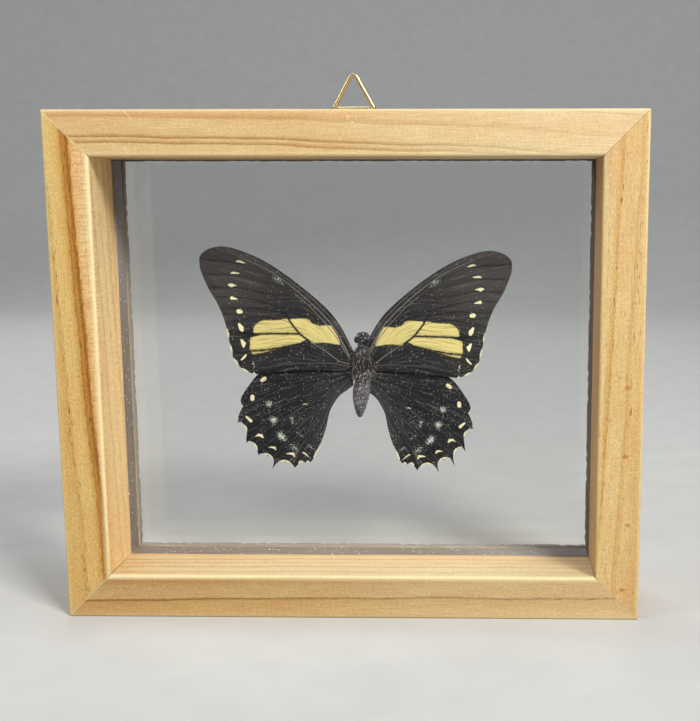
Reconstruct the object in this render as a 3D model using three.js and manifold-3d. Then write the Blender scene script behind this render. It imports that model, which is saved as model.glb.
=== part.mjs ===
// A dried butterfly between two panes of glass, in a small mitred pine frame with a hanging ring.
// Millimetres, +Z up. The front of the frame looks along -Y. The origin is on the surface that the
// frame stands on, under the middle of the whole object.

import * as THREE from 'three';
import { mergeVertices } from 'three/addons/utils/BufferGeometryUtils.js';
import Module from 'manifold-3d';

// ---- driving dimensions -------------------------------------------------------------------------

const FIT_GAP = 0.3;            // clearance left between pieces that touch

const frame = {
  width: 178,
  height: 155,
  depth: 36,
  rail: 13.5,                   // face width of a rail
  lipRadius: 1.3,               // rounding of the front inner edge
  outerRadius: 0.8,             // easing of the front outer edge
  backRadius: 0.5,              // easing of the edges at the back
};

const groove = { front: 20.8, depth: 5 };   // where the groove starts, and how deep it is cut
const pane = { thickness: 2, bite: 4.2 };   // how far a pane reaches into the groove
const gap = { between: 8 };                 // clear space between the panes, for the specimen
const spacer = { thickness: 4.4 };

const strap = {
  x: -1.3, width: 10.6, thickness: 0.5, loopInner: 0.9, foot: 143.6, pinch: 0.12, corner: 1.5,
  neckOut: 0.25, neckFall: 1.4, meetFall: 1.7, flatFall: 2.9,   // the fold's pinch, under the ring's axis
};
const facetTurn = 22.5;         // degrees turned by each facet of the strap's fold and the screw's head
const ring = { wire: 0.6, width: 14.2, height: 12.6, axisZ: 157.6, bend: 0.9, apexBend: 1.3, endGap: 0.3 };
const screw = {
  z: 149, head: 1.9, headHeight: 0.8, shank: 0.85, length: 9, pointLength: 1.8,
  slotWidth: 0.5, slotDepth: 0.35, slotTurn: 25,
};

const wing = { thickness: 0.4, foreDepth: 26.0, hindDepth: 26.9 };   // depths behind the frame's front

// ---- places worked out from them ----------------------------------------------------------------

const frontPaneAt = groove.front;
const backPaneAt = frontPaneAt + pane.thickness + gap.between;
const grooveEnd = backPaneAt + pane.thickness + FIT_GAP;
const grooveStart = groove.front - FIT_GAP;

const loopOuter = strap.loopInner + strap.thickness;
const overallDepth = frame.depth + FIT_GAP + 2 * loopOuter;
const behindFront = (d) => d - overallDepth / 2;          // depth behind the front face -> Y
const ringAxisY = behindFront(frame.depth + FIT_GAP + loopOuter);
const degrees = THREE.MathUtils.degToRad;

const wasm = await Module();
wasm.setup();

const part = new THREE.Group();

function addPiece(name, geometry, colour, roughness, metalness = 0) {
  const material = new THREE.MeshStandardMaterial({ color: colour, roughness, metalness });
  const mesh = new THREE.Mesh(geometry, material);
  mesh.name = name;
  part.add(mesh);
  return mesh;
}

// ---- solids: to and from the boolean library ----------------------------------------------------

function toManifold(geometry) {
  const bare = geometry.clone();
  bare.deleteAttribute('normal');
  bare.deleteAttribute('uv');
  const merged = mergeVertices(bare, 1e-4);
  return new wasm.Manifold(new wasm.Mesh({
    numProp: 3,
    vertProperties: new Float32Array(merged.attributes.position.array),
    triVerts: new Uint32Array(merged.index.array),
  }));
}

function toGeometry(solid) {
  const mesh = solid.getMesh();
  const geometry = new THREE.BufferGeometry();
  geometry.setAttribute('position', new THREE.BufferAttribute(new Float32Array(mesh.vertProperties), 3));
  geometry.setIndex(new THREE.BufferAttribute(new Uint32Array(mesh.triVerts), 1));
  geometry.computeVertexNormals();
  return geometry;
}

// ---- rails and spacers: a section carried along one side of the frame, mitred at both ends --------

// The section's first coordinate is the distance in from the frame's outer edge, its second the depth
// behind the front face.
function railSection() {
  const { rail, depth, lipRadius, outerRadius, backRadius } = frame;
  const inner = rail - groove.depth;
  const s = new THREE.Shape();
  s.moveTo(0, outerRadius);
  s.absarc(outerRadius, outerRadius, outerRadius, Math.PI, 1.5 * Math.PI, false);
  s.absarc(rail - lipRadius, lipRadius, lipRadius, 1.5 * Math.PI, 2 * Math.PI, false);
  s.lineTo(rail, grooveStart);
  s.lineTo(inner, grooveStart);
  s.lineTo(inner, grooveEnd);
  s.lineTo(rail, grooveEnd);
  s.absarc(rail - backRadius, depth - backRadius, backRadius, 0, 0.5 * Math.PI, false);
  s.absarc(backRadius, depth - backRadius, backRadius, 0.5 * Math.PI, Math.PI, false);
  s.closePath();
  return s;
}

function spacerSection() {
  const outer = frame.rail - spacer.thickness;
  const start = frontPaneAt + pane.thickness + FIT_GAP / 2;
  const end = backPaneAt - FIT_GAP / 2;
  const s = new THREE.Shape();
  s.moveTo(outer, start);
  s.lineTo(frame.rail, start);
  s.lineTo(frame.rail, end);
  s.lineTo(outer, end);
  s.closePath();
  return s;
}

// A length of the section lying along X, centred, with the outer edge at Z = 0 and the opening above.
// Each end is cut back at 45 degrees, by as much as the distance in from the outer edge.
function mitredBar(section, length, curveSegments) {
  const solid = new THREE.ExtrudeGeometry(section, { depth: 1, bevelEnabled: false, curveSegments });
  const at = solid.attributes.position;
  for (let i = 0; i < at.count; i++) {
    const inward = at.getX(i);
    const side = 1 - 2 * at.getZ(i);
    const reach = length / 2 - inward - FIT_GAP * Math.SQRT1_2;
    at.setXYZ(i, side * reach, behindFront(at.getY(i)), inward);
  }
  return toGeometry(toManifold(solid));
}

// quarter turns about Y carry the bottom bar to the other sides
const sides = {
  bottom: { length: frame.width, turn: 0, x: 0, z: 0 },
  right: { length: frame.height, turn: -90, x: frame.width / 2, z: frame.height / 2 },
  top: { length: frame.width, turn: 180, x: 0, z: frame.height },
  left: { length: frame.height, turn: 90, x: -frame.width / 2, z: frame.height / 2 },
};

function addAroundFrame(prefix, section, colours, roughness, curveSegments) {
  for (const [name, side] of Object.entries(sides)) {
    const bar = addPiece(`${prefix}_${name}`, mitredBar(section, side.length, curveSegments),
      colours[name], roughness);
    bar.position.set(side.x, 0, side.z);
    bar.rotation.y = degrees(side.turn);
  }
}

const pine = { bottom: 0xe9c690, right: 0xe4bd84, top: 0xe3c292, left: 0xdfb880 };
const greyCard = { bottom: 0x9b8c76, right: 0x83735f, top: 0x7b6d5b, left: 0x8a7b66 };
addAroundFrame('rail', railSection(), pine, 0.55, 4);
addAroundFrame('spacer', spacerSection(), greyCard, 0.8, 1);

// ---- panes --------------------------------------------------------------------------------------

function addPane(name, depth) {
  const width = frame.width - 2 * (frame.rail - pane.bite);
  const height = frame.height - 2 * (frame.rail - pane.bite);
  const sheet = addPiece(name, new THREE.BoxGeometry(width, pane.thickness, height), 0xdfeee8, 0.03);
  sheet.material.transparent = true;
  sheet.material.opacity = 0.3;
  sheet.position.set(0, behindFront(depth + pane.thickness / 2), frame.height / 2);
}
addPane('front_pane', frontPaneAt);
addPane('back_pane', backPaneAt);

// ---- butterfly body: a round section carried from the head to the tip of the abdomen -----------------

// height, middle across, half width, half thickness; the middle lies bodyDepth behind the front
const bodyDepth = 27.1;
const bodyStations = [
  [87.0, 1.7, 0.3, 0.3], [86.3, 1.7, 1.8, 1.5], [84.9, 1.7, 2.5, 2.2], [83.2, 1.8, 1.8, 1.9],
  [82.0, 1.9, 2.4, 2.5], [79.5, 2.0, 3.4, 3.2], [76.0, 2.0, 3.7, 3.4], [73.0, 1.7, 3.2, 3.1],
  [71.2, 1.5, 2.5, 2.6], [69.0, 1.2, 2.9, 2.8], [66.0, 0.9, 2.7, 2.7], [63.0, 0.6, 2.1, 2.2],
  [60.5, 0.45, 1.3, 1.5], [59.1, 0.4, 0.5, 0.6],
];

function bodyGeometry(inflate, rows, around) {
  const curve = new THREE.CatmullRomCurve3(
    bodyStations.map(([z, x]) => new THREE.Vector3(x, z, 0)), false, 'centripetal');
  const girth = new THREE.CatmullRomCurve3(
    bodyStations.map(([z, , w, t]) => new THREE.Vector3(w, z, t)), false, 'centripetal');
  const at = [];
  const index = [];
  for (let r = 0; r <= rows; r++) {
    const middle = curve.getPoint(r / rows);
    const size = girth.getPoint(r / rows);
    for (let k = 0; k < around; k++) {
      const a = (2 * Math.PI * k) / around;
      at.push(middle.x + (size.x + inflate) * Math.cos(a),
        behindFront(bodyDepth) + (size.z + inflate) * Math.sin(a), size.y);
    }
  }
  const [crownZ, crownX] = bodyStations[0];
  const [tipZ, tipX] = bodyStations[bodyStations.length - 1];
  const crown = at.push(crownX, behindFront(bodyDepth), crownZ + 0.15 + inflate) / 3 - 1;
  const tip = at.push(tipX, behindFront(bodyDepth), tipZ - 0.35 - inflate) / 3 - 1;
  for (let k = 0; k < around; k++) {
    const next = (k + 1) % around;
    index.push(crown, k, next);
    index.push(tip, rows * around + next, rows * around + k);
    for (let r = 0; r < rows; r++) {
      const a = r * around;
      const b = a + around;
      index.push(a + k, b + k, b + next, a + k, b + next, a + next);
    }
  }
  const geometry = new THREE.BufferGeometry();
  geometry.setAttribute('position', new THREE.Float32BufferAttribute(at, 3));
  geometry.setIndex(index);
  return geometry;
}

addPiece('butterfly_body', toGeometry(toManifold(bodyGeometry(0, 30, 20))), 0x4a4542, 0.85);
const bodyWithClearance = toManifold(bodyGeometry(FIT_GAP, 30, 20));

// ---- wings: flat plates in outline -------------------------------------------------------------------

// Outline points are distance out from the middle of the frame, and height. They are those of the left
// wings; the right ones are set a little lower and closer, as wingPoses says.
const forewing = {
  leadingEdge: [[1.2, 80.5], [5, 88.4], [10, 95], [20, 103.6], [30, 110.2], [40, 114.1], [46, 114.1],
    [50, 111.6], [50.2, 107.5]],
  outerEdge: [[50.2, 107.5], [47.8, 101.3], [44.8, 96], [42.7, 90.3], [41.6, 84.5], [40.3, 78.5],
    [37.3, 74.8], [33.3, 73.2]],
  innerEdge: [[33.3, 73.2], [20, 74.6], [8, 74.7], [1.6, 74.9]],
};
const hindwing = {
  leadingEdge: [[1.8, 75.2], [10, 76.4], [22, 76.8], [29, 75.4], [32.8, 72.9], [36.2, 68.7],
    [38.5, 64.9], [38.2, 62.2], [39, 60.3], [39.5, 58.9]],
  // each tooth's root, the way it points, its length whole and as worn on the left wing, its half
  // width, and the dip of the edge after it
  teeth: [
    { root: [38.9, 57.9], way: [0.8, -0.6], whole: 1.3, worn: 1.3, half: 1.1, dip: 0.8 },
    { root: [36.6, 51.2], way: [0.45, -0.89], whole: 2.5, worn: 1.2, half: 0.7, dip: 0.6 },
    { root: [32.9, 46.9], way: [0.35, -0.94], whole: 3.6, worn: 1.0, half: 0.6, dip: 0.8 },
    { root: [27.6, 43.9], way: [0.42, -0.91], whole: 2.9, worn: 2.9, half: 0.7, dip: 0.75 },
    { root: [21.2, 42.9], way: [0.1, -1], whole: 1.5, worn: 1.2, half: 1.0, dip: 0.5 },
    { root: [17.8, 43.9], way: [-0.1, -1], whole: 0.6, worn: 0.6, half: 0.4, dip: 0.1 },
  ],
  innerEdge: [[16.4, 43.4], [14.6, 45.6], [13.7, 48.2], [12.3, 50.7], [10.7, 55.5], [9.3, 61],
    [6.5, 65.8], [3.4, 68.6], [1.6, 70.5]],
};
const wingPoses = {
  forewing_left: { side: -1, hinge: [1.5, 78], at: [-1.5, 78], turn: 0, reach: 1, rise: 1 },
  forewing_right: { side: 1, hinge: [1.5, 78], at: [1.8, 77.7], turn: -1.5, reach: 0.968, rise: 1 },
  hindwing_left: { side: -1, hinge: [1.5, 74], at: [-1.5, 74], turn: 0, reach: 1, rise: 1 },
  hindwing_right: { side: 1, hinge: [1.5, 74], at: [1.7, 73.1], turn: -2.7, reach: 0.957, rise: 0.96 },
};

const toVectors = (points) => points.map(([x, y]) => new THREE.Vector2(x, y));
const smooth = (points, steps) => new THREE.SplineCurve(toVectors(points)).getPoints(steps);

// The hindwing's lower edge. Across a tooth, u runs from -1 to 1 and the edge stands out by
// length * (1 - |u|)^1.8. Between two teeth it dips towards the wing by dip * 4s(1 - s).
function scallopedEdge(teeth, worn) {
  const edge = [];
  teeth.forEach((tooth, i) => {
    const root = new THREE.Vector2(...tooth.root);
    const way = new THREE.Vector2(...tooth.way).normalize();
    const across = new THREE.Vector2(way.y, -way.x);
    const length = worn ? tooth.worn : tooth.whole;
    for (let u = -1; u <= 1; u += 0.25) {
      edge.push(root.clone().addScaledVector(across, tooth.half * u)
        .addScaledVector(way, length * (1 - Math.abs(u)) ** 1.8));
    }
    const next = teeth[i + 1];
    const nextWay = next && new THREE.Vector2(...next.way).normalize();
    const to = next
      ? new THREE.Vector2(...next.root).addScaledVector(new THREE.Vector2(nextWay.y, -nextWay.x), -next.half)
      : new THREE.Vector2(...hindwing.innerEdge[0]);
    const from = edge[edge.length - 1];
    const along = to.clone().sub(from);
    const inward = new THREE.Vector2(along.y, -along.x).normalize();
    for (let s = 1 / 6; s < 0.99; s += 1 / 6) {
      edge.push(from.clone().addScaledVector(along, s).addScaledVector(inward, tooth.dip * 4 * s * (1 - s)));
    }
  });
  return edge;
}

const forewingOutline = () => [
  ...smooth(forewing.leadingEdge, 26).slice(0, -1),
  ...smooth(forewing.outerEdge, 18).slice(0, -1),
  ...smooth(forewing.innerEdge, 8),
];
const hindwingOutline = (worn) => [
  ...smooth(hindwing.leadingEdge, 24).slice(0, -1),
  ...scallopedEdge(hindwing.teeth, worn),
  ...smooth(hindwing.innerEdge, 14),
];

function addWing(name, outline, depth) {
  const { side, hinge, at, turn, reach, rise } = wingPoses[name];
  const placed = outline.map((p) => new THREE.Vector2(
    (p.x - hinge[0]) * reach, (p.y - hinge[1]) * rise).rotateAround(new THREE.Vector2(), degrees(turn)));
  const shape = new THREE.Shape(placed.map((p) => new THREE.Vector2(at[0] + side * p.x, at[1] + p.y)));
  const plate = new THREE.ExtrudeGeometry(shape, { depth: wing.thickness, bevelEnabled: false });
  plate.rotateX(Math.PI / 2);
  plate.translate(0, behindFront(depth) + wing.thickness, 0);
  addPiece(name, toGeometry(toManifold(plate).subtract(bodyWithClearance)), 0x2a2728, 0.85);
}
addWing('forewing_left', forewingOutline(), wing.foreDepth);
addWing('forewing_right', forewingOutline(), wing.foreDepth);
addWing('hindwing_left', hindwingOutline(true), wing.hindDepth);
addWing('hindwing_right', hindwingOutline(false), wing.hindDepth);

// ---- hanging ring: wire bent to a triangle, its ends meeting in the middle of the bar ---------------

// Straight runs joined by round bends, starting and ending at the middle of the bar.
function ringPath() {
  const apex = new THREE.Vector3(0, 0, ring.height);
  const right = new THREE.Vector3(ring.width / 2, 0, 0);
  const left = new THREE.Vector3(-ring.width / 2, 0, 0);
  const path = new THREE.CurvePath();
  let from = new THREE.Vector3(ring.endGap / 2, 0, 0);
  const corners = [right, apex, left];
  const ends = [from, ...corners, new THREE.Vector3(-ring.endGap / 2, 0, 0)];
  corners.forEach((corner, i) => {
    const toPrevious = ends[i].clone().sub(corner).normalize();
    const toNext = ends[i + 2].clone().sub(corner).normalize();
    const bend = corner === apex ? ring.apexBend : ring.bend;
    const between = toPrevious.angleTo(toNext);
    const cut = bend / Math.tan(between / 2);
    const handle = (4 / 3) * Math.tan((Math.PI - between) / 4) * bend;
    const enter = corner.clone().addScaledVector(toPrevious, cut);
    const leave = corner.clone().addScaledVector(toNext, cut);
    path.add(new THREE.LineCurve3(from, enter));
    path.add(new THREE.CubicBezierCurve3(enter, enter.clone().addScaledVector(toPrevious, -handle),
      leave.clone().addScaledVector(toNext, -handle), leave));
    from = leave;
  });
  path.add(new THREE.LineCurve3(from, ends[4]));
  return path;
}

function addRing() {
  const section = new THREE.Shape();
  section.absarc(0, 0, ring.wire, 0, 2 * Math.PI, false);
  const wire = new THREE.ExtrudeGeometry(section, {
    extrudePath: ringPath(), steps: 60, curveSegments: 8, bevelEnabled: false,
  });
  const mesh = addPiece('hanger_ring', toGeometry(toManifold(wire)), 0xd9c079, 0.25, 1);
  mesh.position.set(strap.x, ringAxisY, ring.axisZ);
}
addRing();

// ---- hanger strap: a strip folded round the ring's bar, both ends screwed to the back of the top rail

// The middle line of the strip, seen from the end, with the ring's axis at the origin: up the front
// layer, over the bar, and down again behind the front layer.
function strapMiddleLine() {
  const r = strap.loopInner + strap.thickness / 2;
  const foot = strap.foot - ring.axisZ;
  const back = -r + strap.thickness + strap.pinch;
  const line = [new THREE.Vector2(-r, foot)];
  for (let a = 180; a >= -45; a -= facetTurn) {
    line.push(new THREE.Vector2(r * Math.cos(degrees(a)), r * Math.sin(degrees(a))));
  }
  const neck = new THREE.CubicBezierCurve(
    line[line.length - 1], new THREE.Vector2(strap.neckOut, -strap.neckFall),
    new THREE.Vector2(back, -strap.meetFall), new THREE.Vector2(back, -strap.flatFall));
  line.push(...neck.getPoints(6).slice(1), new THREE.Vector2(back, foot));
  return line;
}

// A closed outline of the given thickness about a line.
function thicken(line, thickness) {
  const left = [];
  const right = [];
  line.forEach((p, i) => {
    const before = line[Math.max(i - 1, 0)];
    const after = line[Math.min(i + 1, line.length - 1)];
    const normal = after.clone().sub(before).normalize().rotateAround(new THREE.Vector2(), Math.PI / 2);
    left.push(p.clone().addScaledVector(normal, thickness / 2));
    right.push(p.clone().addScaledVector(normal, -thickness / 2));
  });
  return new THREE.Shape([...left, ...right.reverse()]);
}

function addStrap() {
  const strip = new THREE.ExtrudeGeometry(thicken(strapMiddleLine(), strap.thickness), {
    depth: strap.width, bevelEnabled: false,
  });
  strip.applyMatrix4(new THREE.Matrix4().makeBasis(
    new THREE.Vector3(0, 1, 0), new THREE.Vector3(0, 0, 1), new THREE.Vector3(1, 0, 0)));
  strip.translate(strap.x - strap.width / 2, ringAxisY, ring.axisZ);

  // the plate's lower corners are rounded, and the screw goes through both layers
  const half = strap.width / 2;
  const c = strap.corner;
  const clear = 2 * loopOuter;
  const outline = new THREE.Shape();
  outline.moveTo(-half - clear, ring.axisZ + clear);
  outline.lineTo(-half - clear, strap.foot + c);
  outline.lineTo(-half, strap.foot + c);
  outline.absarc(-half + c, strap.foot + c, c, Math.PI, 1.5 * Math.PI, false);
  outline.absarc(half - c, strap.foot + c, c, 1.5 * Math.PI, 2 * Math.PI, false);
  outline.lineTo(half + clear, strap.foot + c);
  outline.lineTo(half + clear, ring.axisZ + clear);
  outline.closePath();
  const hole = new THREE.Path();
  hole.absarc(0, screw.z, screw.shank + FIT_GAP, 0, 2 * Math.PI, true);
  outline.holes.push(hole);
  const cutter = new THREE.ExtrudeGeometry(
    outline, { depth: 2 * clear, bevelEnabled: false, curveSegments: 6 });
  cutter.rotateX(Math.PI / 2);
  cutter.translate(strap.x, ringAxisY + clear, 0);
  addPiece('hanger_strap', toGeometry(toManifold(strip).intersect(toManifold(cutter))), 0xcdb064, 0.3, 1);
}
addStrap();

// ---- screw -------------------------------------------------------------------------------------------

const strapBack = frame.depth + FIT_GAP + 2 * strap.thickness + strap.pinch;
const screwHeadAt = strapBack + FIT_GAP / 2;       // depth of the underside of the head

// Turned about its own axis, which points out of the back of the frame; 0 is under the head.
function screwGeometry() {
  const profile = [
    new THREE.Vector2(0, -screw.length), new THREE.Vector2(screw.shank, screw.pointLength - screw.length),
    new THREE.Vector2(screw.shank, 0), new THREE.Vector2(screw.head, 0)];
  for (let a = facetTurn; a < 90; a += facetTurn) {
    profile.push(new THREE.Vector2(
      screw.head * Math.cos(degrees(a)), screw.headHeight * Math.sin(degrees(a))));
  }
  profile.push(new THREE.Vector2(0, screw.headHeight));
  const turned = toManifold(new THREE.LatheGeometry(profile, 20));
  const slot = new THREE.BoxGeometry(3 * screw.head, 2 * screw.slotDepth, screw.slotWidth);
  slot.translate(0, screw.headHeight, 0);
  return toGeometry(turned.subtract(toManifold(slot)));
}

const screwMesh = addPiece('hanger_screw', screwGeometry(), 0xc4aa62, 0.3, 1);
screwMesh.position.set(strap.x, behindFront(screwHeadAt), screw.z);
screwMesh.rotation.y = degrees(screw.slotTurn);

// the screw's hole in the top rail
function boreTopRail() {
  const rail = part.getObjectByName('rail_top');
  rail.updateMatrixWorld(true);
  const bore = new THREE.CylinderGeometry(
    screw.shank + FIT_GAP, screw.shank + FIT_GAP, 2 * screw.length, 16);
  bore.translate(strap.x, behindFront(frame.depth) + 1, screw.z);
  bore.applyMatrix4(rail.matrixWorld.clone().invert());
  rail.geometry = toGeometry(toManifold(rail.geometry).subtract(toManifold(bore)));
}
boreTopRail();

export default part;
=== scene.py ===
"""A dried butterfly between two panes of glass, in a small pine frame with a brass hanging ring."""
import math

import bpy
import numpy as np
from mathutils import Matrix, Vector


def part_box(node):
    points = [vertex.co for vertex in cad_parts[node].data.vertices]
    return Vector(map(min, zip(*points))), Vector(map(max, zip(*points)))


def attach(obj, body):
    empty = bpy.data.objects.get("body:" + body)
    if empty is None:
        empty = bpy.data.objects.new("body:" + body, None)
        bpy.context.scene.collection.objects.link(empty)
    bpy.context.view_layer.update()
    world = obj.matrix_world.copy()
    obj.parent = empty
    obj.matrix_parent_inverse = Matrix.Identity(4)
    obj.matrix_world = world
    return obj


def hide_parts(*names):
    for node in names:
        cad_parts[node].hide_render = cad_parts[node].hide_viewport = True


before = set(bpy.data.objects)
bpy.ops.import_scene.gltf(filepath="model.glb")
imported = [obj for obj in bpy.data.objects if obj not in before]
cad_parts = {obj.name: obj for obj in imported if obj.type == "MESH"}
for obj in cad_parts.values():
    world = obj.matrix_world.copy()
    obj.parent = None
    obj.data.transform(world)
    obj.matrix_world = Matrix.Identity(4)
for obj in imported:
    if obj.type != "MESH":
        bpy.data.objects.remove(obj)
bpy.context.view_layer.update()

mm = 0.001

# ---- camera ---------------------------------------------------------------------------------------
# It stands a third of a metre in front of the frame, right of its middle and above the butterfly. It
# looks a little down, and its view is shifted off the lens's axis.

camera_data = bpy.data.cameras.new("camera")
camera_data.sensor_width = 36
camera_data.lens = 53.88
camera_data.shift_x = -0.1502
camera_data.shift_y = 0.0281
camera = bpy.data.objects.new("camera", camera_data)
camera.location = (0.0389, -0.3403, 0.1259)
camera.rotation_euler = [math.radians(turn) for turn in (81.02, 0.007, 1.023)]
bpy.context.scene.collection.objects.link(camera)
bpy.context.scene.camera = camera
bpy.context.scene.view_settings.view_transform = "Standard"

# ---- stage: pale floor and soft lights --------------------------------------------------------------
# A sheet of pale paper lies under the frame and sweeps up behind it. A broad lamp stands high on the
# right, weaker ones stand on the left and behind, and the room's own light fills the rest.


def add_node(tree, kind, inputs=None, **settings):
    """A node with its settings made, and each input set to a value or joined to a socket."""
    made = tree.nodes.new(kind)
    for name, value in settings.items():
        setattr(made, name, value)
    for name, value in (inputs or {}).items():
        if isinstance(value, bpy.types.NodeSocket):
            tree.links.new(value, made.inputs[name])
        else:
            made.inputs[name].default_value = value
    return made


def maths(tree, operation, *values, clamp=False):
    """The result of one sum on numbers or sockets."""
    return add_node(tree, "ShaderNodeMath", dict(enumerate(values)), operation=operation,
                    use_clamp=clamp).outputs[0]


def step_up(tree, value, low, high, to_low=0.0, to_high=1.0):
    """A soft step: to_low where value is at or under low, to_high at or over high."""
    return add_node(tree, "ShaderNodeMapRange", {"Value": value, "From Min": low, "From Max": high,
                    "To Min": to_low, "To Max": to_high}, interpolation_type="SMOOTHSTEP").outputs[0]


def mixed(tree, share, first, second, blend_type="MIX"):
    """The second colour over the first, by share."""
    return add_node(tree, "ShaderNodeMix", {0: share, 6: first, 7: second}, data_type="RGBA",
                    blend_type=blend_type, clamp_factor=True).outputs[2]


def scaled(tree, place, stretch):
    """A place with each axis multiplied by its own number."""
    return add_node(tree, "ShaderNodeVectorMath", {0: place, 1: stretch},
                    operation="MULTIPLY").outputs[0]


def along_axes(tree, place):
    """A place's three numbers, as X, Y and Z."""
    return add_node(tree, "ShaderNodeSeparateXYZ", {0: place}).outputs


def noise(tree, place, stretch=None, scale=1.0, detail=2.0, roughness=0.5, seed=0.0):
    """Cloudy noise from 0 to 1, centred on a half. stretch is how fine it is along each axis."""
    if stretch:
        place = scaled(tree, place, stretch)
    return add_node(tree, "ShaderNodeTexNoise", {"Vector": place, "W": seed, "Scale": scale,
                    "Detail": detail, "Roughness": roughness}, noise_dimensions="4D").outputs[0]


def object_place(tree):
    """Where a point is on the object, in millimetres."""
    place = add_node(tree, "ShaderNodeTexCoord").outputs["Object"]
    return scaled(tree, place, (1 / mm, 1 / mm, 1 / mm))


def new_material(name, **shader_values):
    """A material with one Principled shader, whose own sockets take the values given."""
    material = bpy.data.materials.new(name)
    material.use_nodes = True
    tree = material.node_tree
    shader = next(n for n in tree.nodes if n.type == "BSDF_PRINCIPLED")
    for socket, value in shader_values.items():
        shader.inputs[socket.replace("_", " ")].default_value = value
    return material, tree, shader


def grid_faces(rows, columns, closed=False):
    """Quads of a grid whose point numbers run along the columns first. closed joins the last column
    to the first."""
    row, column = np.meshgrid(np.arange(rows - 1), np.arange(columns - 1 + closed), indexing="ij")
    after = (column + 1) % columns
    corners = (row * columns + column, row * columns + after,
               (row + 1) * columns + after, (row + 1) * columns + column)
    return np.stack([c.ravel() for c in corners], axis=1)


def sweep_profile(flat_end, radius, top, count):
    """Distance back and height: flat to flat_end, a quarter circle of the radius, straight up."""
    turn = np.linspace(0, math.pi / 2, count)
    back = np.concatenate([[-1.4], flat_end + radius * np.sin(turn), [flat_end + radius]])
    up = np.concatenate([[0], radius * (1 - np.cos(turn)), [top]])
    return back, up


floor_back, floor_up = sweep_profile(flat_end=1.0, radius=0.9, top=2.6, count=33)
floor_points = np.stack(np.broadcast_arrays(
    np.array([-5.0, 5.0])[None, :], floor_back[:, None], floor_up[:, None]), axis=-1)
floor_mesh = bpy.data.meshes.new("paper_sweep")
floor_mesh.from_pydata(floor_points.reshape(-1, 3).tolist(), [],
                       grid_faces(len(floor_back), 2).tolist())
floor_mesh.shade_smooth()
floor = bpy.data.objects.new("paper_sweep", floor_mesh)
bpy.context.scene.collection.objects.link(floor)
paper, tree, shader = new_material("pale_paper", Roughness=0.9, Specular_IOR_Level=0.2)
paper_tone = step_up(tree, noise(tree, object_place(tree), scale=0.05, detail=4), 0.3, 0.7)
tree.links.new(mixed(tree, paper_tone, (0.60, 0.60, 0.59, 1), (0.63, 0.63, 0.62, 1)),
               shader.inputs["Base Color"])


def mirror_share(tree, share):
    """share on rays that come straight from a shiny surface that mirrors them, else 0."""
    path = add_node(tree, "ShaderNodeLightPath").outputs
    shone = maths(tree, "MINIMUM", path["Glossy Depth"], 1.0)
    direct = maths(tree, "SUBTRACT", 1.0, path["Diffuse Depth"], clamp=True)
    return maths(tree, "MULTIPLY", maths(tree, "MULTIPLY", shone, direct), share)


# painted shade in reflections, standing in for dark screens that are not built: on rays that come straight
# from glass or brass the paper turns nearly black, most in front of the frame and less behind it, and below
# the room's light is dimmed the same way, so glass and brass mirror only a little of the paper and the room
behind = along_axes(tree, object_place(tree))["Y"]
paper_darkened_in_mirrors = add_node(tree, "ShaderNodeMixShader", {
    0: mirror_share(tree, step_up(tree, behind, 20, 200, 0.96, 0.72)), 1: shader.outputs[0],
    2: add_node(tree, "ShaderNodeEmission", {"Strength": 0.0}).outputs[0]})
tree.links.new(paper_darkened_in_mirrors.outputs[0], tree.nodes["Material Output"].inputs["Surface"])
floor_mesh.materials.append(paper)


# square lamps that face the middle of the frame: place, size, power and tint
lamps = {"key_lamp": ((0.50, -0.62, 0.78), 0.30, 9.6, (1.0, 0.985, 0.94)),
         "side_lamp": ((-0.90, -0.45, 0.74), 0.4, 2.4, (0.92, 0.96, 1.0)),
         "back_lamp": ((-0.25, 0.85, 0.75), 0.6, 3.0, (1.0, 0.98, 0.95))}
for name, (place, size, power, tint) in lamps.items():
    data = bpy.data.lights.new(name, "AREA")
    data.shape = "SQUARE"
    data.size = size
    data.energy = power
    data.color = tint
    lamp = bpy.data.objects.new(name, data)
    lamp.location = place
    way = np.subtract((0, 0, 0.08), place)
    lamp.rotation_euler = (math.atan2(math.hypot(way[0], way[1]), -way[2]), 0,
                           math.atan2(-way[0], way[1]))
    bpy.context.scene.collection.objects.link(lamp)
world = bpy.data.worlds.new("room_light")
world.use_nodes = True
tree = world.node_tree
room = tree.nodes["Background"]
room.inputs["Color"].default_value = (0.93, 0.96, 1.0, 1)
# painted shade in reflections: on rays that come straight from glass or brass the room's light is dimmed,
# the more so the lower they look
way_up = along_axes(tree, add_node(tree, "ShaderNodeTexCoord").outputs["Generated"])["Z"]
taken = mirror_share(tree, step_up(tree, way_up, 0.10, 0.45, 0.385, 0.12))
tree.links.new(maths(tree, "SUBTRACT", 0.40, taken), room.inputs["Strength"])
bpy.context.scene.world = world

# ---- pine rails -------------------------------------------------------------------------------------
# Four lengths of planed pine, 13.5 mm wide on the face, mitred and glued at the corners. The front
# inner edge is rounded over, the other edges are eased, and a groove near the back holds the panes.
# Each rail was cut from another part of the board, so each has its own run of growth rings.


def box_corners(node):
    """The lowest and the highest corner of the box that holds a node, in mm."""
    return (np.array(corner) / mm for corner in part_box(node))


rail_width = 13.5
groove_start = 20.5
groove_end = 33.1
groove_bottom = 8.5
lip_radius = 0.85
outer_radius = 0.8
back_radius = 0.5
groove_arris = 0.15
mitre_cut = 0.04
mitre_easing = 0.09
point_step = 0.9         # at most this far between two points of a section
rail_rows = 200
mitre_rim = 0.22         # width of the paler, sanded wood beside a mitre
wide_relief = 0.035
fine_relief = 0.012
sawn_depth = 0.34        # how far the ragged back lip is bitten
(frame_left, _, _), _ = box_corners("rail_left")
_, (frame_right, _, _) = box_corners("rail_right")
(_, frame_front, _), (_, frame_back, frame_top) = box_corners("rail_top")
frame_depth = frame_back - frame_front
frame_middle = frame_top / 2
side_lengths = {"bottom": frame_right - frame_left, "right": frame_top,
                "top": frame_right - frame_left, "left": frame_top}


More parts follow.
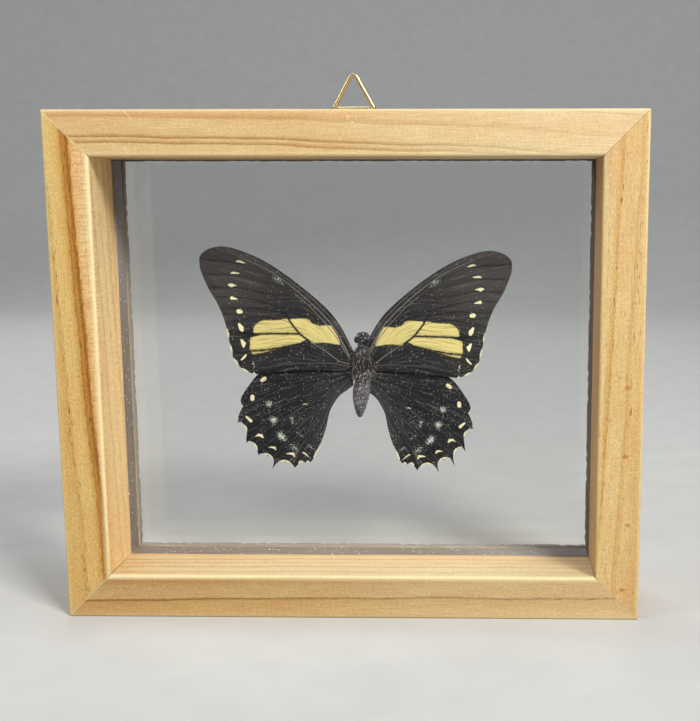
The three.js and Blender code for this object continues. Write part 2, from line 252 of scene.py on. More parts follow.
def corner_arc(centre, radius, start, steps):
    """A quarter circle about centre, from the start angle in degrees on, counter-clockwise."""
    turn = np.radians(np.linspace(start, start + 90, steps))
    return np.stack([centre[0] + radius * np.cos(turn), centre[1] + radius * np.sin(turn)], axis=1)


def divided(loop, longest):
    """A closed outline with points added, so that no side is longer than longest."""
    sides = np.roll(loop, -1, axis=0) - loop
    count = np.maximum(1, np.ceil(np.hypot(*sides.T) / longest).astype(int))
    at = np.repeat(np.arange(len(loop)), count)
    share = (np.arange(count.sum()) - np.repeat(np.cumsum(count) - count, count)) / count[at]
    return loop[at] + sides[at] * share[:, None]


def unit(ways):
    """Each way divided by its length."""
    ways = np.asarray(ways, float)
    return ways / np.linalg.norm(ways, axis=-1, keepdims=True)


def turned(ways):
    """Each way in a plane, turned a quarter clockwise."""
    return np.stack([ways[..., 1], -ways[..., 0]], axis=-1)


def outline_normals(loop):
    """Unit normals of a counter-clockwise closed outline, pointing out of it: the chord between a
    point's neighbours, turned a quarter clockwise."""
    return unit(turned(np.roll(loop, -1, axis=0) - np.roll(loop, 1, axis=0)))


def rail_section():
    """The rail's outline, as distance in from the frame's outer edge and depth behind its face."""
    front_arcs = [
        corner_arc((outer_radius, outer_radius), outer_radius, 180, 7),
        corner_arc((rail_width - lip_radius, lip_radius), lip_radius, 270, 11),
    ]
    groove = np.array([
        [rail_width, groove_start - groove_arris], [rail_width - groove_arris, groove_start],
        [groove_bottom, groove_start], [groove_bottom, groove_end],
        [rail_width - groove_arris, groove_end], [rail_width, groove_end + groove_arris]])
    back_arcs = [
        corner_arc((rail_width - back_radius, frame_depth - back_radius), back_radius, 0, 6),
        corner_arc((back_radius, frame_depth - back_radius), back_radius, 90, 6),
    ]
    return divided(np.concatenate([*front_arcs, groove, *back_arcs]), point_step)


def bar_faces(rows, columns):
    """Faces of a bar whose rows are closed loops: its sides, and one flat cap at each end."""
    first = np.arange(columns)[None]
    return [grid_faces(rows, columns, closed=True), first[:, ::-1], first + (rows - 1) * columns]


def mitred_bar(section, length, rows, cut, easing):
    """A section carried along one side of the frame. Row t, from -1 to 1, of a section point lies at
    t * (length / 2 - distance in - cut), so both ends are cut at 45 degrees. Two more rows at each
    end close the mitre, and the last one is shrunk by the easing, which rounds its edge. Gives
    distance along, distance in and depth, rows by section points."""
    reach = (length / 2 - section[:, 0] - cut)[None]
    inner = np.linspace(-1, 1, rows)[:, None] * (reach - easing - mitre_rim)
    along = np.concatenate([-reach, easing - reach, inner, reach - easing, reach])
    shrink = np.zeros(rows + 4)
    shrink[[0, -1]] = easing
    at = section[None] - shrink[:, None, None] * outline_normals(section)[None]
    return np.stack([along, at[..., 0], at[..., 1]], axis=-1)


def eased(share):
    """A share from 0 to 1 as a smooth step: s s (3 - 2 s)."""
    return share * share * (3 - 2 * share)


def wander(place, size, seed):
    """Smooth noise from -1 to 1: random numbers at the corners of cells of the size, in mm, which may
    differ by axis, blended across each cell by smooth steps along the three axes."""
    table = np.random.default_rng(seed).uniform(-1, 1, (16, 16, 16))
    cell = np.floor(place / size).astype(int)
    share = eased(place / size - cell)
    total = 0
    for corner in np.ndindex(2, 2, 2):
        weight = np.prod(np.where(corner, share, 1 - share), axis=-1)
        total = total + weight * table[tuple(np.moveaxis((cell + corner) % 16, -1, 0))]
    return total


def enclosed(points, faces):
    """Six times the volume inside the faces: above 0 when they face outwards."""
    return sum(np.einsum("ij,ij->", points[group[:, 0]],
                         np.cross(points[group[:, i]], points[group[:, i + 1]]))
               for group in faces for i in range(1, group.shape[1] - 1))


def add_piece(name, shapes, material, body, smooth_under=35):
    """One mesh piece made of closed shapes, each of points in mm and groups of faces. A shape that
    faces inwards is turned round. The piece rides on the body and takes its finish from the slot."""
    points, faces, count = [], [], 0
    for shape_points, groups in shapes:
        shape_points = np.asarray(shape_points, float).reshape(-1, 3)
        way = -1 if enclosed(shape_points, groups) < 0 else 1
        for group in groups:
            faces += (group[:, ::way] + count).tolist()
        points.append(shape_points)
        count += len(shape_points)
    mesh = bpy.data.meshes.new(name)
    mesh.from_pydata((np.concatenate(points) * mm).tolist(), [], faces)
    mesh.polygons.foreach_set("use_smooth", np.ones(len(mesh.polygons), bool))
    mesh.update()
    mesh.set_sharp_from_angle(angle=math.radians(smooth_under))
    mesh.materials.append(material)
    piece = bpy.data.objects.new(name, mesh)
    bpy.context.scene.collection.objects.link(piece)
    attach(piece, body)
    return piece


def add_numbers(piece, name, values):
    """One number, or one vector of three, for each point of the mesh."""
    values = np.asarray(values, np.float32)
    vector = values.ndim > 1
    attribute = piece.data.attributes.new(name, "FLOAT_VECTOR" if vector else "FLOAT", "POINT")
    attribute.data.foreach_set("vector" if vector else "value", values.ravel())


def new_group(name, inputs, outputs):
    """A shader node group with the sockets named, and the nodes that hold its ends."""
    group = bpy.data.node_groups.new(name, "ShaderNodeTree")
    kinds = {"f": "NodeSocketFloat", "v": "NodeSocketVector", "c": "NodeSocketColor"}
    for sockets, way in ((inputs, "INPUT"), (outputs, "OUTPUT")):
        for socket, kind in sockets.items():
            group.interface.new_socket(name=socket, in_out=way, socket_type=kinds[kind])
    return group, group.nodes.new("NodeGroupInput").outputs, group.nodes.new("NodeGroupOutput").inputs


def use_group(tree, group, **values):
    """The group placed in a material, with its inputs set or joined."""
    inputs = {name.replace("_", " "): value for name, value in values.items()}
    return add_node(tree, "ShaderNodeGroup", inputs, node_tree=group).outputs


def attribute(tree, name, output="Fac"):
    """A number or vector kept on the piece's points."""
    return add_node(tree, "ShaderNodeAttribute", attribute_name=name).outputs[output]


def colour(red, green, blue):
    """Screen colour levels from 0 to 255, as a linear colour."""
    level = np.array([red, green, blue]) / 255
    linear = np.where(level <= 0.04045, level / 12.92, ((level + 0.055) / 1.055) ** 2.4)
    return (*linear.tolist(), 1.0)


def painted(tree, tone, *coats):
    """The tone under its coats: each is a share, a colour and, unless it is a plain mix, its blend."""
    for share, over, *blend in coats:
        tone = mixed(tree, share, tone, over, *blend)
    return tone


def add_finish(tree, shader, tone, roughness, height, depth, strength=1.0):
    """The shader's colour and roughness, and its height as a bump, in units of depth in mm."""
    bump = add_node(tree, "ShaderNodeBump", {"Height": height, "Distance": depth * mm,
                    "Strength": strength}).outputs[0]
    for socket, value in (("Base Color", tone), ("Roughness", roughness), ("Normal", bump)):
        tree.links.new(value, shader.inputs[socket])


# How far through the growth rings a point lies, in mm: distance in from the outer edge, plus a slope
# and a bend along the rail, plus the slant of the rings through its depth, a slow wander, and a quick
# one that frays the rings' edges into fibres.
growth_rings, given, result = new_group(
    "growth_rings", {"Grain": "v", "Start": "f", "Slope": "f", "Bend": "f", "Slant": "f", "Waver": "f",
                     "Seed": "f"}, {"Ring": "f"})
tree = growth_rings
parts = along_axes(tree, given["Grain"])
hundredth = maths(tree, "DIVIDE", parts["X"], 100.0)
bent = maths(tree, "MULTIPLY", given["Bend"], maths(tree, "POWER", hundredth, 2.0))
ring = maths(tree, "ADD", maths(tree, "ADD", parts["Y"], given["Start"]), bent)
ring = maths(tree, "MULTIPLY_ADD", parts["X"], given["Slope"], ring)
ring = maths(tree, "MULTIPLY_ADD", parts["Z"], given["Slant"], ring)
slow = noise(tree, given["Grain"], (0.03, 0.05, 0.05), detail=1, seed=given["Seed"])
quick = noise(tree, given["Grain"], (0.30, 1.5, 1.5), detail=4, roughness=0.6, seed=given["Seed"])
for sway, reach in ((slow, 2.2), (quick, given["Waver"])):
    ring = maths(tree, "MULTIPLY_ADD", maths(tree, "SUBTRACT", sway, 0.5), reach, ring)
tree.links.new(ring, result["Ring"])

# The planed surface over the rings' own colour: fibres drawn out along the rail, a fine mottle, short dark
# resin canals, silky ripples across the grain, and paler wood at the edges, sanded on the eased edges and a
# painted highlight along the rounded front lip.
planed_pine, given, result = new_group(
    "planed_pine", {"Grain": "v", "Ring Colour": "c", "Canals": "f", "Ripple": "f",
                    "Mottle": "f", "Edge": "f", "Dust": "f"},
    {"Color": "c", "Roughness": "f", "Height": "f"})
tree = planed_pine
fibres = noise(tree, given["Grain"], (0.12, 3.2, 3.2), detail=3)
mottle = noise(tree, given["Grain"], (1.1, 2.6, 2.6), detail=3, roughness=0.6, seed=3)
broad = noise(tree, given["Grain"], (0.018, 0.09, 0.09), seed=5)
canal = noise(tree, given["Grain"], (0.30, 2.8, 2.8), detail=1, seed=7)
ripples = noise(tree, given["Grain"], (1.9, 0.22, 0.22), seed=9)
wood = painted(
    tree, given["Ring Colour"],
    (step_up(tree, fibres, 0.32, 0.72, 0, 0.30), colour(196, 150, 92), "MULTIPLY"),
    (step_up(tree, mottle, 0.46, 0.62, 0, given["Mottle"]), colour(168, 126, 66), "MULTIPLY"),
    (step_up(tree, mottle, 0.50, 0.28, 0, 0.14), colour(255, 236, 170), "SCREEN"),
    (step_up(tree, broad, 0.35, 0.7, 0, 0.30), colour(240, 190, 140), "MULTIPLY"),
    (step_up(tree, canal, 0.58, 0.76, 0, given["Canals"]), colour(132, 82, 20)),
    (step_up(tree, ripples, 0.45, 0.65, 0, given["Ripple"]), colour(206, 150, 98), "MULTIPLY"),
    # Edge is paler wood: sanded on the eased edges, and a painted highlight on the rounded front lip
    (given["Edge"], colour(255, 243, 190)), (given["Dust"], colour(132, 123, 119)))
tree.links.new(wood, result["Color"])
tree.links.new(step_up(tree, mottle, 0.3, 0.7, 0.40, 0.56), result["Roughness"])
tree.links.new(maths(tree, "MULTIPLY_ADD", mottle, 0.5, fibres), result["Height"])


def ring_colours(tree, ring, stops):
    """The wood's colour through the rings. stops are pairs of a place in mm and a colour."""
    first, last = stops[0][0], stops[-1][0]
    ramp = add_node(tree, "ShaderNodeValToRGB", {"Fac": step_linear(tree, ring, first, last)})
    elements = ramp.color_ramp.elements
    for i, (place, tone) in enumerate(stops):
        share = (place - first) / (last - first)
        element = elements[i] if i < 2 else elements.new(share)
        element.position = share
        element.color = tone
    return ramp.outputs["Color"]


def step_linear(tree, value, low, high):
    """How far value has gone from low to high, from 0 to 1."""
    return add_node(tree, "ShaderNodeMapRange", {"Value": value, "From Min": low,
                    "From Max": high}).outputs[0]


cream_pine = colour(233, 203, 150)
straw_pine = colour(222, 189, 128)
peach_pine = colour(231, 196, 141)
wall_pine = colour(216, 195, 148)
left_wall = colour(246, 218, 160)
right_face = colour(232, 203, 141)
tan_line = colour(196, 150, 92)
rust_line = colour(184, 124, 42)
# lip is how strongly each rail's rounded front lip is painted pale as a highlight, strongest on the left
# and bottom rails, whose lips face the lamps
rails = {
    "rail_top": {
        "rings": {"Start": -1.47, "Slope": -0.0368, "Bend": -2.3, "Slant": -0.35, "Waver": 0.7,
                  "Seed": 1.0},
        "stops": [(-16, straw_pine), (-12, cream_pine), (-11.6, tan_line), (-11, cream_pine),
                  (-5, straw_pine), (-4.4, tan_line), (-3.9, peach_pine), (0.4, peach_pine),
                  (2.0, colour(214, 176, 120)), (2.5, cream_pine), (5, colour(230, 203, 148)),
                  (7.0, colour(226, 195, 138)), (7.9, colour(180, 136, 78)), (8.25, cream_pine),
                  (9.1, colour(210, 172, 112)), (9.5, colour(182, 140, 84)),
                  (9.9, colour(230, 202, 146)), (13, cream_pine)],
        "canals": 0.12, "ripple": 0.08, "silky": (-90, -80), "dashes": [],
        "mottle": 0.16, "lip": 0.35, "fade": (-25, 85, 0.52, "MIX")},
    "rail_bottom": {
        "rings": {"Start": 0.12, "Slope": -0.0079, "Bend": 1.32, "Slant": 0.95, "Waver": 0.7,
                  "Seed": 2.0},
        "stops": [(-2, colour(206, 174, 116)), (2, straw_pine), (6.3, colour(204, 168, 104)),
                  (6.8, colour(150, 106, 46)), (7.3, colour(212, 178, 120)),
                  (11, colour(204, 170, 116)), (13.2, colour(196, 148, 90)), (14, wall_pine),
                  (17.6, wall_pine), (18, colour(200, 150, 92)), (18.7, wall_pine),
                  (22.2, wall_pine), (22.6, colour(186, 132, 74)), (23.4, wall_pine),
                  (26.2, colour(220, 186, 134)), (26.6, colour(196, 146, 88)), (27.2, wall_pine),
                  (29.2, wall_pine), (29.6, colour(190, 138, 80)), (30.6, wall_pine),
                  (34, straw_pine)],
        "canals": 0.12, "ripple": 0.06, "silky": (-90, -80), "dashes": [(6.8, 0.4)],
        "mottle": 0.20, "lip": 0.75, "fade": (-55, 85, 0.31, "MIX")},
    "rail_left": {
        "rings": {"Start": 0.0, "Slope": 0.046, "Bend": 0.0, "Slant": 0.50, "Waver": 2.0,
                  "Seed": 3.0},
        "stops": [(-5, colour(230, 199, 127)), (1.5, colour(226, 192, 119)),
                  (3.2, colour(216, 178, 104)), (4.2, colour(232, 199, 125)),
                  (6.8, colour(229, 194, 118)), (8.1, colour(216, 172, 92)),
                  (8.7, colour(184, 126, 44)), (9.2, colour(202, 148, 66)), (9.8, rust_line),
                  (10.3, colour(150, 96, 24)), (10.9, colour(226, 176, 100)),
                  (11.6, colour(240, 200, 136)), (15, colour(242, 210, 154)),
                  (16.3, colour(242, 210, 154)), (16.8, colour(226, 188, 130)),
                  (17.3, left_wall), (19.2, left_wall), (19.7, colour(234, 199, 140)),
                  (20.2, left_wall), (22.1, left_wall), (22.7, colour(226, 188, 130)),
                  (23.4, left_wall), (25, colour(230, 199, 142)), (33, straw_pine)],
        "canals": 0.14, "ripple": 0.36, "silky": (10.2, 11.4), "dashes": [(3.3, 0.9), (9.4, 1.5)],
        "mottle": 0.30, "lip": 0.80, "fade": (-45, 70, 0.22, "MULTIPLY")},
    "rail_right": {
        "rings": {"Start": -0.4, "Slope": 0.045, "Bend": 0.0, "Slant": 0.20, "Waver": 0.9,
                  "Seed": 4.0},
        "stops": [(-3, straw_pine), (3, right_face), (4.8, colour(220, 182, 112)), (5.4, right_face),
                  (9.6, right_face), (10.2, colour(214, 170, 92)), (10.6, colour(220, 182, 110)),
                  (12, right_face), (15, straw_pine), (20, peach_pine)],
        "canals": 0.50, "ripple": 0.10, "silky": (-90, -80), "dashes": [(3.4, 0.5), (10.2, 0.7)],
        "mottle": 0.25, "lip": 0.30, "fade": (-20, 70, 0.12, "MIX")},
}

# pin knots in the right rail: height, distance in from the outer edge, half length across
pin_knots = [(73.2, 4.9, 0.74), (51.9, 5.2, 0.84), (30.4, 3.9, 0.66), (9.7, 5.2, 0.72)]

# small bruises in the face of the top rail, and two slanting scratches made of rows of them: place
# along, distance in, half width, half height
bruises = [(0.93, 2.3, 0.17, 1.15), (1.5, 2.45, 0.15, 0.5), (2.36, 3.75, 0.36, 0.34),
           (3.55, 2.7, 0.16, 0.75)]
bruises += [(-64.2 + 0.5 * step, 0.6 + 0.5 * step, 0.34, 0.26) for step in range(5)]
bruises += [(-64.5 + 0.4 * step, 11.2 + 0.6 * step, 0.28, 0.32) for step in range(3)]


def spot_distance(tree, grain, along, across, half_along, half_across):
    """How far a point of the front face is from a spot, in the spot's own half sizes."""
    offset = add_node(tree, "ShaderNodeVectorMath", {0: grain, 1: (along, across, 0)},
                      operation="SUBTRACT").outputs[0]
    return add_node(tree, "ShaderNodeVectorMath", {0: scaled(
        tree, offset, (1 / half_along, 1 / half_across, 0.25))}, operation="LENGTH").outputs["Value"]


def pine_material(name, made):
    """One rail's pine: its own rings under the planed surface, and the marks it carries."""
    material, tree, shader = new_material(name + "_pine", Specular_IOR_Level=0.35)
    grain = attribute(tree, "grain", "Vector")
    ring = use_group(tree, growth_rings, Grain=grain, **made["rings"])["Ring"]
    tone = ring_colours(tree, ring, made["stops"])
    if name == "rail_right":
        for height, across, half in pin_knots:
            away = spot_distance(tree, grain, height - frame_middle, across, half / 1.1, half * 1.4)
            ragged = maths(tree, "ADD", away, noise(tree, grain, scale=2.0, detail=2))
            tone = mixed(tree, step_up(tree, ragged, 1.75, 0.95, 0, 0.85), tone,
                         colour(196, 134, 58))
    if name == "rail_top":
        for bruise in bruises:
            tone = mixed(tree, step_up(tree, spot_distance(tree, grain, *bruise), 1.0, 0.6, 0, 0.8),
                         tone, colour(255, 244, 214))
    # the wood is paler towards one end, and the right rail is painted darker inside the opening, as shade
    low, high, share, way = made["fade"]
    at = along_axes(tree, grain)
    pale = colour(250, 243, 206) if way == "MIX" else (1.14, 1.50, 1.95, 1)
    tone = mixed(tree, step_up(tree, at["X"], low, high, 0, share), tone, pale, way)
    if name == "rail_right":
        tone = mixed(tree, step_up(tree, at["Z"], 0.7, 1.5), tone, (0.84, 0.76, 0.77, 1), "MULTIPLY")
    # canals crowd together in some rings; the silky ripples begin at one, and are faint inside
    canals = made["canals"]
    for middle, half in made["dashes"]:
        away = maths(tree, "ABSOLUTE", maths(tree, "SUBTRACT", ring, middle))
        canals = maths(tree, "MAXIMUM", step_up(tree, away, half, 0.3 * half, 0, 2.6), canals)
    ripple = maths(tree, "MULTIPLY", step_up(tree, ring, *made["silky"], 0, made["ripple"]),
                   step_up(tree, at["Z"], 1.0, 4.0, 1.0, 0.4))
    pine = use_group(tree, planed_pine, Grain=grain, Ring_Colour=tone, Canals=canals, Ripple=ripple,
                     Mottle=made["mottle"], Edge=attribute(tree, "edge"),
                     Dust=attribute(tree, "dust"))
    add_finish(tree, shader, pine["Color"], pine["Roughness"], pine["Height"], 0.05, 0.8)
    return material


def on_side(bar, side):
    """A bar's distance along, distance in and depth, as places on the frame. Each side is the bottom
    one turned about the frame's middle by quarter turns."""
    along, across, depth = np.moveaxis(bar, -1, 0)
    x, z = {
        "bottom": (along, across),
        "top": (-along, frame_top - across),
        "right": (frame_right - across, frame_middle + along),
        "left": (frame_left + across, frame_middle - along),
    }[side]
    return np.stack([x, frame_front + depth, z], axis=-1)


def edge_nearness(section, spots, reach):
    """1 at the rounded edges, fading to 0 at reach mm from them."""
    away = np.min(np.hypot(*(section[:, None] - np.array(spots)[None]).transpose(2, 0, 1)), axis=1)
    return np.clip(1 - away / reach, 0, 1)


section = rail_section()
section_out = outline_normals(section)
# where the rounded front lip's painted highlight lies
lip = edge_nearness(section, [(rail_width - 0.4, 0.4)], 1.15)
arrises = edge_nearness(section, [(0.2, 0.2), (0, frame_depth), (rail_width, frame_depth)], 0.8)
back_lip = (section[:, 0] > rail_width - 0.5) & (section[:, 1] > groove_end - 0.1)
for name, made in rails.items():
    side = name.split("_")[1]
    bar = mitred_bar(section, side_lengths[side], rail_rows, mitre_cut, mitre_easing)
    place = on_side(bar, side)
    along = place[..., 0] if side in ("top", "bottom") else place[..., 2] - frame_middle
    grain = np.stack([along, bar[..., 1], bar[..., 2]], axis=-1)
    relief = wide_relief * wander(grain, (24, 3.0, 3.0), 11) + fine_relief * wander(
        grain, (6, 1.1, 1.1), 12)
    # the back lip was sawn, so its edge is ragged
    relief -= sawn_depth * back_lip * np.clip(wander(grain, (1.7, 40, 40), 13) + 0.35, 0, 1) ** 2
    bar[..., 1:] += relief[..., None] * section_out[None]
    # paler edges: a painted highlight on the front lip, by the rail's lip share, and sanding on the other
    # rounded edges
    sanded_and_highlit_edges = np.tile(np.maximum(made["lip"] * lip, 0.4 * arrises), (len(bar), 1))
    # the mitres are sanded more on the left rail and at the left and lower ends
    for rows in (slice(2), slice(-2, None)):
        sanded_and_highlit_edges[rows] = 0.55 if grain[rows][0, 0, 0] < 0 or side == "left" else 0.1
    shape = on_side(bar, side), bar_faces(*bar.shape[:2])
    piece = add_piece(name.replace("rail_", "pine_rail_"), [shape], pine_material(name, made),
                      "frame")
    add_numbers(piece, "grain", grain.reshape(-1, 3))
    add_numbers(piece, "edge", sanded_and_highlit_edges.ravel())
    add_numbers(piece, "dust", np.tile(back_lip, len(bar)))
    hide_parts(name)

# ---- glass panes ------------------------------------------------------------------------------------
# Two panes of 2 mm float glass lie in the groove, 8 mm apart, with their sharp edges ground off. They have
# a trace of green, and faint wipe marks.

pane_thickness = 2.0
ground_edge = 0.3


def pane_shape(low, high):
    """A flat box with its long edges cut at 45 degrees: four loops round it, each a rectangle shrunk
    by an inset at a depth, and the two faces."""
    points = []
    for inset, depth in ((ground_edge, 0), (0, ground_edge), (0, pane_thickness - ground_edge),
                         (ground_edge, pane_thickness)):
        left, right = low[0] + inset, high[0] - inset
        foot, top = low[2] + inset, high[2] - inset
        y = low[1] + depth
        points.append([(left, y, foot), (right, y, foot), (right, y, top), (left, y, top)])
    return np.array(points), bar_faces(4, 4)


glass, tree, shader = new_material("float_glass", Transmission_Weight=1.0, IOR=1.5,
                                   Base_Color=(0.985, 0.992, 0.988, 1))
wipes = noise(tree, object_place(tree), (0.035, 0.1, 0.09), detail=5, roughness=0.65)
tree.links.new(step_up(tree, wipes, 0.52, 0.80, 0.0, 0.04), shader.inputs["Roughness"])
through = add_node(tree, "ShaderNodeBsdfTransparent", {"Color": (0.955, 0.972, 0.963, 1)})
lamps_pass = add_node(tree, "ShaderNodeMixShader", {
    0: add_node(tree, "ShaderNodeLightPath").outputs["Is Shadow Ray"],
    1: shader.outputs[0], 2: through.outputs[0]})
tree.links.new(lamps_pass.outputs[0], tree.nodes["Material Output"].inputs["Surface"])
for name in ("front_pane", "back_pane"):
    piece = add_piece("glass_" + name, [pane_shape(*box_corners(name))], glass, "frame",
                      smooth_under=20)
    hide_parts(name)

# ---- grey spacer strips -----------------------------------------------------------------------------
# Four strips of grey card, mitred, keep the panes apart and close the space round the butterfly. They
# lie flush with the wood and show their layered, slightly dusty edge.

(_, spacer_front, spacer_outer), (_, spacer_back, _) = box_corners("spacer_bottom")
spacer_front -= frame_front
spacer_back -= frame_front
spacer_arris = 0.25
spacer_cut = 0.06        # and the easing of its mitres
spacer_step = 0.8
spacer_rows = 90


def spacer_section():
    """A rectangle with its two exposed corners eased."""
    inner = rail_width - spacer_arris
    return divided(np.concatenate([
        [(spacer_outer, spacer_front)],
        corner_arc((inner, spacer_front + spacer_arris), spacer_arris, 270, 4),
        corner_arc((inner, spacer_back - spacer_arris), spacer_arris, 0, 4),
        [(spacer_outer, spacer_back)]]), spacer_step)


card, tree, shader = new_material("grey_card", Specular_IOR_Level=0.3)
grain = attribute(tree, "grain", "Vector")
layers = noise(tree, grain, (0.05, 0.8, 2.2), detail=3, seed=2)
felt = noise(tree, grain, scale=2.4, detail=4, roughness=0.65, seed=4)
lint = add_node(tree, "ShaderNodeTexVoronoi", {"Vector": grain, "Scale": 0.5}).outputs["Distance"]
# a pale bluish painted reflection of the room lies on the upper left and lower right, and the paper backs
# onto the front pane
card_tone = painted(
    tree, colour(92, 84, 79), (step_up(tree, layers, 0.35, 0.68), colour(112, 102, 94)),
    (step_up(tree, felt, 0.46, 0.66, 0, 0.45), colour(72, 68, 68)),
    (step_up(tree, lint, 0.16, 0.09), colour(240, 232, 220)),
    (attribute(tree, "bluish_reflection"), colour(150, 152, 162)), (attribute(tree, "paper"), colour(206, 166, 126)))
add_finish(tree, shader, card_tone, step_up(tree, felt, 0.3, 0.7, 0.62, 0.82), felt, 0.06)
section = spacer_section()
for i, (side, length) in enumerate(side_lengths.items()):
    bar = mitred_bar(section, length, spacer_rows, spacer_cut, spacer_cut)
    grain = bar + (0, 0, 20 * i)
    shape = on_side(bar, side), bar_faces(*bar.shape[:2])
    piece = add_piece("card_spacer_" + side, [shape], card, "frame")
    add_numbers(piece, "grain", grain.reshape(-1, 3))
    bluish_reflection = {"left": 0.9 * np.clip((-10 - bar[..., 0]) / 60, 0, 1),
            "bottom": 0.4 * np.clip((bar[..., 0] - 20) / 50, 0, 1)}.get(side, 0 * bar[..., 0])
    add_numbers(piece, "bluish_reflection", bluish_reflection.ravel())
    add_numbers(piece, "paper", np.tile(section[:, 1] < spacer_front + 0.01, len(bar)))
    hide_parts("spacer_" + side)

# ---- butterfly wings --------------------------------------------------------------------------------
# Four dried wings, set open. Each is a thin membrane stretched on hollow veins and covered in scales:
# near-black, browner towards the tip, with a yellow band and cream spots on the forewings, and cream
# crescents and grey-green powder spots on the scalloped hindwings. The left wings' short tails are
# worn. Outlines and marks are those of a left wing, as distance out from the middle and height.

membrane = 0.14          # thickness
rim_step = 0.42          # between two points of a wing's outline
wing_rings = 66
vein_step = 0.5
vein_sides = 6
vein_flatness = 0.75     # a vein's height over its width
fan_start = 8            # where the forewing's two fans of growth begin to blend, and over how far
fan_blend = 20
fore_plane, hind_plane = (
    sum(corner[1] for corner in box_corners(name)) / 2 for name in ("forewing_left", "hindwing_left"))
forewing_loop = [
    [[1.2, 80.5], [5, 88.4], [10, 95], [20, 103.6], [30, 110.2], [40, 114.1], [46, 114.1],
     [50, 111.6], [50.2, 107.5]],
    [[50.2, 107.5], [47.8, 101.3], [44.8, 96], [42.7, 90.3], [41.6, 84.5], [40.3, 78.5],
     [37.3, 74.8], [33.3, 73.2]],
    [[33.3, 73.2], [20, 74.6], [8, 74.7], [1.6, 74.9]],
]
hind_leading = [[1.8, 75.2], [10, 76.4], [22, 76.8], [29, 75.4], [32.8, 72.9], [36.2, 68.7],
                [38.5, 64.9], [38.2, 62.2], [39, 60.3], [39.5, 58.9]]
hind_inner = [[16.4, 43.4], [14.6, 45.6], [13.7, 48.2], [12.3, 50.7], [10.7, 55.5], [9.3, 61],
              [6.5, 65.6], [3.4, 68.0], [1.6, 69.4]]
# each tail's root, the way it points, its length whole and as worn, its half width, and the dip of
# the edge after it
hind_tails = [
    ([38.9, 57.9], [0.8, -0.6], 1.3, 1.3, 1.1, 0.8), ([36.6, 51.2], [0.45, -0.89], 2.5, 1.2, 0.7, 0.6),
    ([32.9, 46.9], [0.35, -0.94], 3.6, 1.0, 0.6, 0.8), ([27.6, 43.9], [0.42, -0.91], 2.9, 2.9, 0.7, 0.75),
    ([21.2, 42.9], [0.1, -1.0], 1.5, 1.2, 1.0, 0.5), ([17.8, 43.9], [-0.1, -1.0], 0.6, 0.6, 0.4, 0.1),
]
wing_poses = {
    "forewing_left": {"side": -1, "hinge": (1.5, 78), "at": (-1.5, 78), "turn": 0, "size": (1, 1)},
    "forewing_right": {"side": 1, "hinge": (1.5, 78), "at": (1.8, 77.7), "turn": -1.5,
                       "size": (0.968, 1)},
    "hindwing_left": {"side": -1, "hinge": (1.5, 74), "at": (-1.5, 74), "turn": 0, "size": (1, 1)},
    "hindwing_right": {"side": 1, "hinge": (1.5, 74), "at": (1.7, 73.1), "turn": -2.7,
                       "size": (0.957, 0.96)},
}


def curve_through(points, count):
    """A smooth curve through points: between two of them it is the Catmull-Rom cubic of those two
    and their neighbours. count even steps along its parameter."""
    points = np.asarray(points, float)
    at = np.linspace(0, len(points) - 1, count + 1)
    i = np.minimum(at.astype(int), len(points) - 2)
    t = (at - i)[:, None]
    before, start = points[np.maximum(i - 1, 0)], points[i]
    end, after = points[i + 1], points[np.minimum(i + 2, len(points) - 1)]
    return 0.5 * (2 * start + (end - before) * t + (2 * before - 5 * start + 4 * end - after) * t ** 2
                  + (3 * start - before - 3 * end + after) * t ** 3)


def evenly(line, step):
    """A line resampled at even distances of about step."""
    gone = np.concatenate([[0], np.cumsum(np.linalg.norm(np.diff(line, axis=0), axis=1))])
    at = np.linspace(0, gone[-1], max(2, round(gone[-1] / step) + 1))
    return np.stack([np.interp(at, gone, axis) for axis in line.T], axis=1)


def forewing_rim(step):
    """The forewing's closed outline, and no tails."""
    lines = [evenly(curve_through(points, 200), step)[:-1] for points in forewing_loop]
    rim = np.concatenate([*lines, evenly(np.array([[1.6, 74.9], [1.2, 80.5]]), step)[:-1]])
    return rim, np.zeros_like(rim)


def hindwing_rim(step, worn):
    """The hindwing's closed outline without its tails, how far each point moves for them, and the
    lines of its dips. Across a tail, u runs from -1 to 1 and the edge stands out by length *
    (1 - |u|) ** 1.8. Between two tails it dips inwards by dip * 4 s (1 - s)."""
    u = np.linspace(-1, 1, 17)[:, None]
    s = np.linspace(0, 1, 14)[1:-1, None]
    rim, out, dips = [evenly(curve_through(hind_leading, 200), step)], [], []
    out.append(np.zeros_like(rim[0]))
    for i, (root, way, whole, stub, half, dip) in enumerate(hind_tails):
        way = unit(way)
        rim.append(root + turned(way) * half * u)
        out.append(way * (stub if worn else whole) * (1 - np.abs(u)) ** 1.8)
        if i + 1 < len(hind_tails):
            next_root, next_way, _, _, next_half, _ = hind_tails[i + 1]
            to = next_root - turned(unit(next_way)) * next_half
        else:
            to = np.array(hind_inner[0])
        start = rim[-1][-1]
        along = to - start
        rim.append(start + along * s + unit(turned(along)) * dip * 4 * s * (1 - s))
        out.append(np.zeros_like(rim[-1]))
        dips.append(rim[-1])
    for line in (evenly(curve_through(hind_inner, 200), step)[:-1],
                 evenly(np.array([hind_inner[-1], hind_leading[0]]), step)[:-1]):
        rim.append(line)
        out.append(np.zeros_like(line))
    return np.concatenate(rim), np.concatenate(out), dips


def fan(rim, out, hub, rows):
    """A flat wing as rings about a hub: ring t, from 0 to 1, is hub + t * (rim - hub), and the tails
    grow over its last tenth. Rings by rim points."""
    t = np.linspace(0, 1, rows + 1)[1:, None, None]
    grown = np.clip((t - 0.9) / 0.1, 0, 1)
    return hub + t * (rim - hub)[None] + grown * out[None]


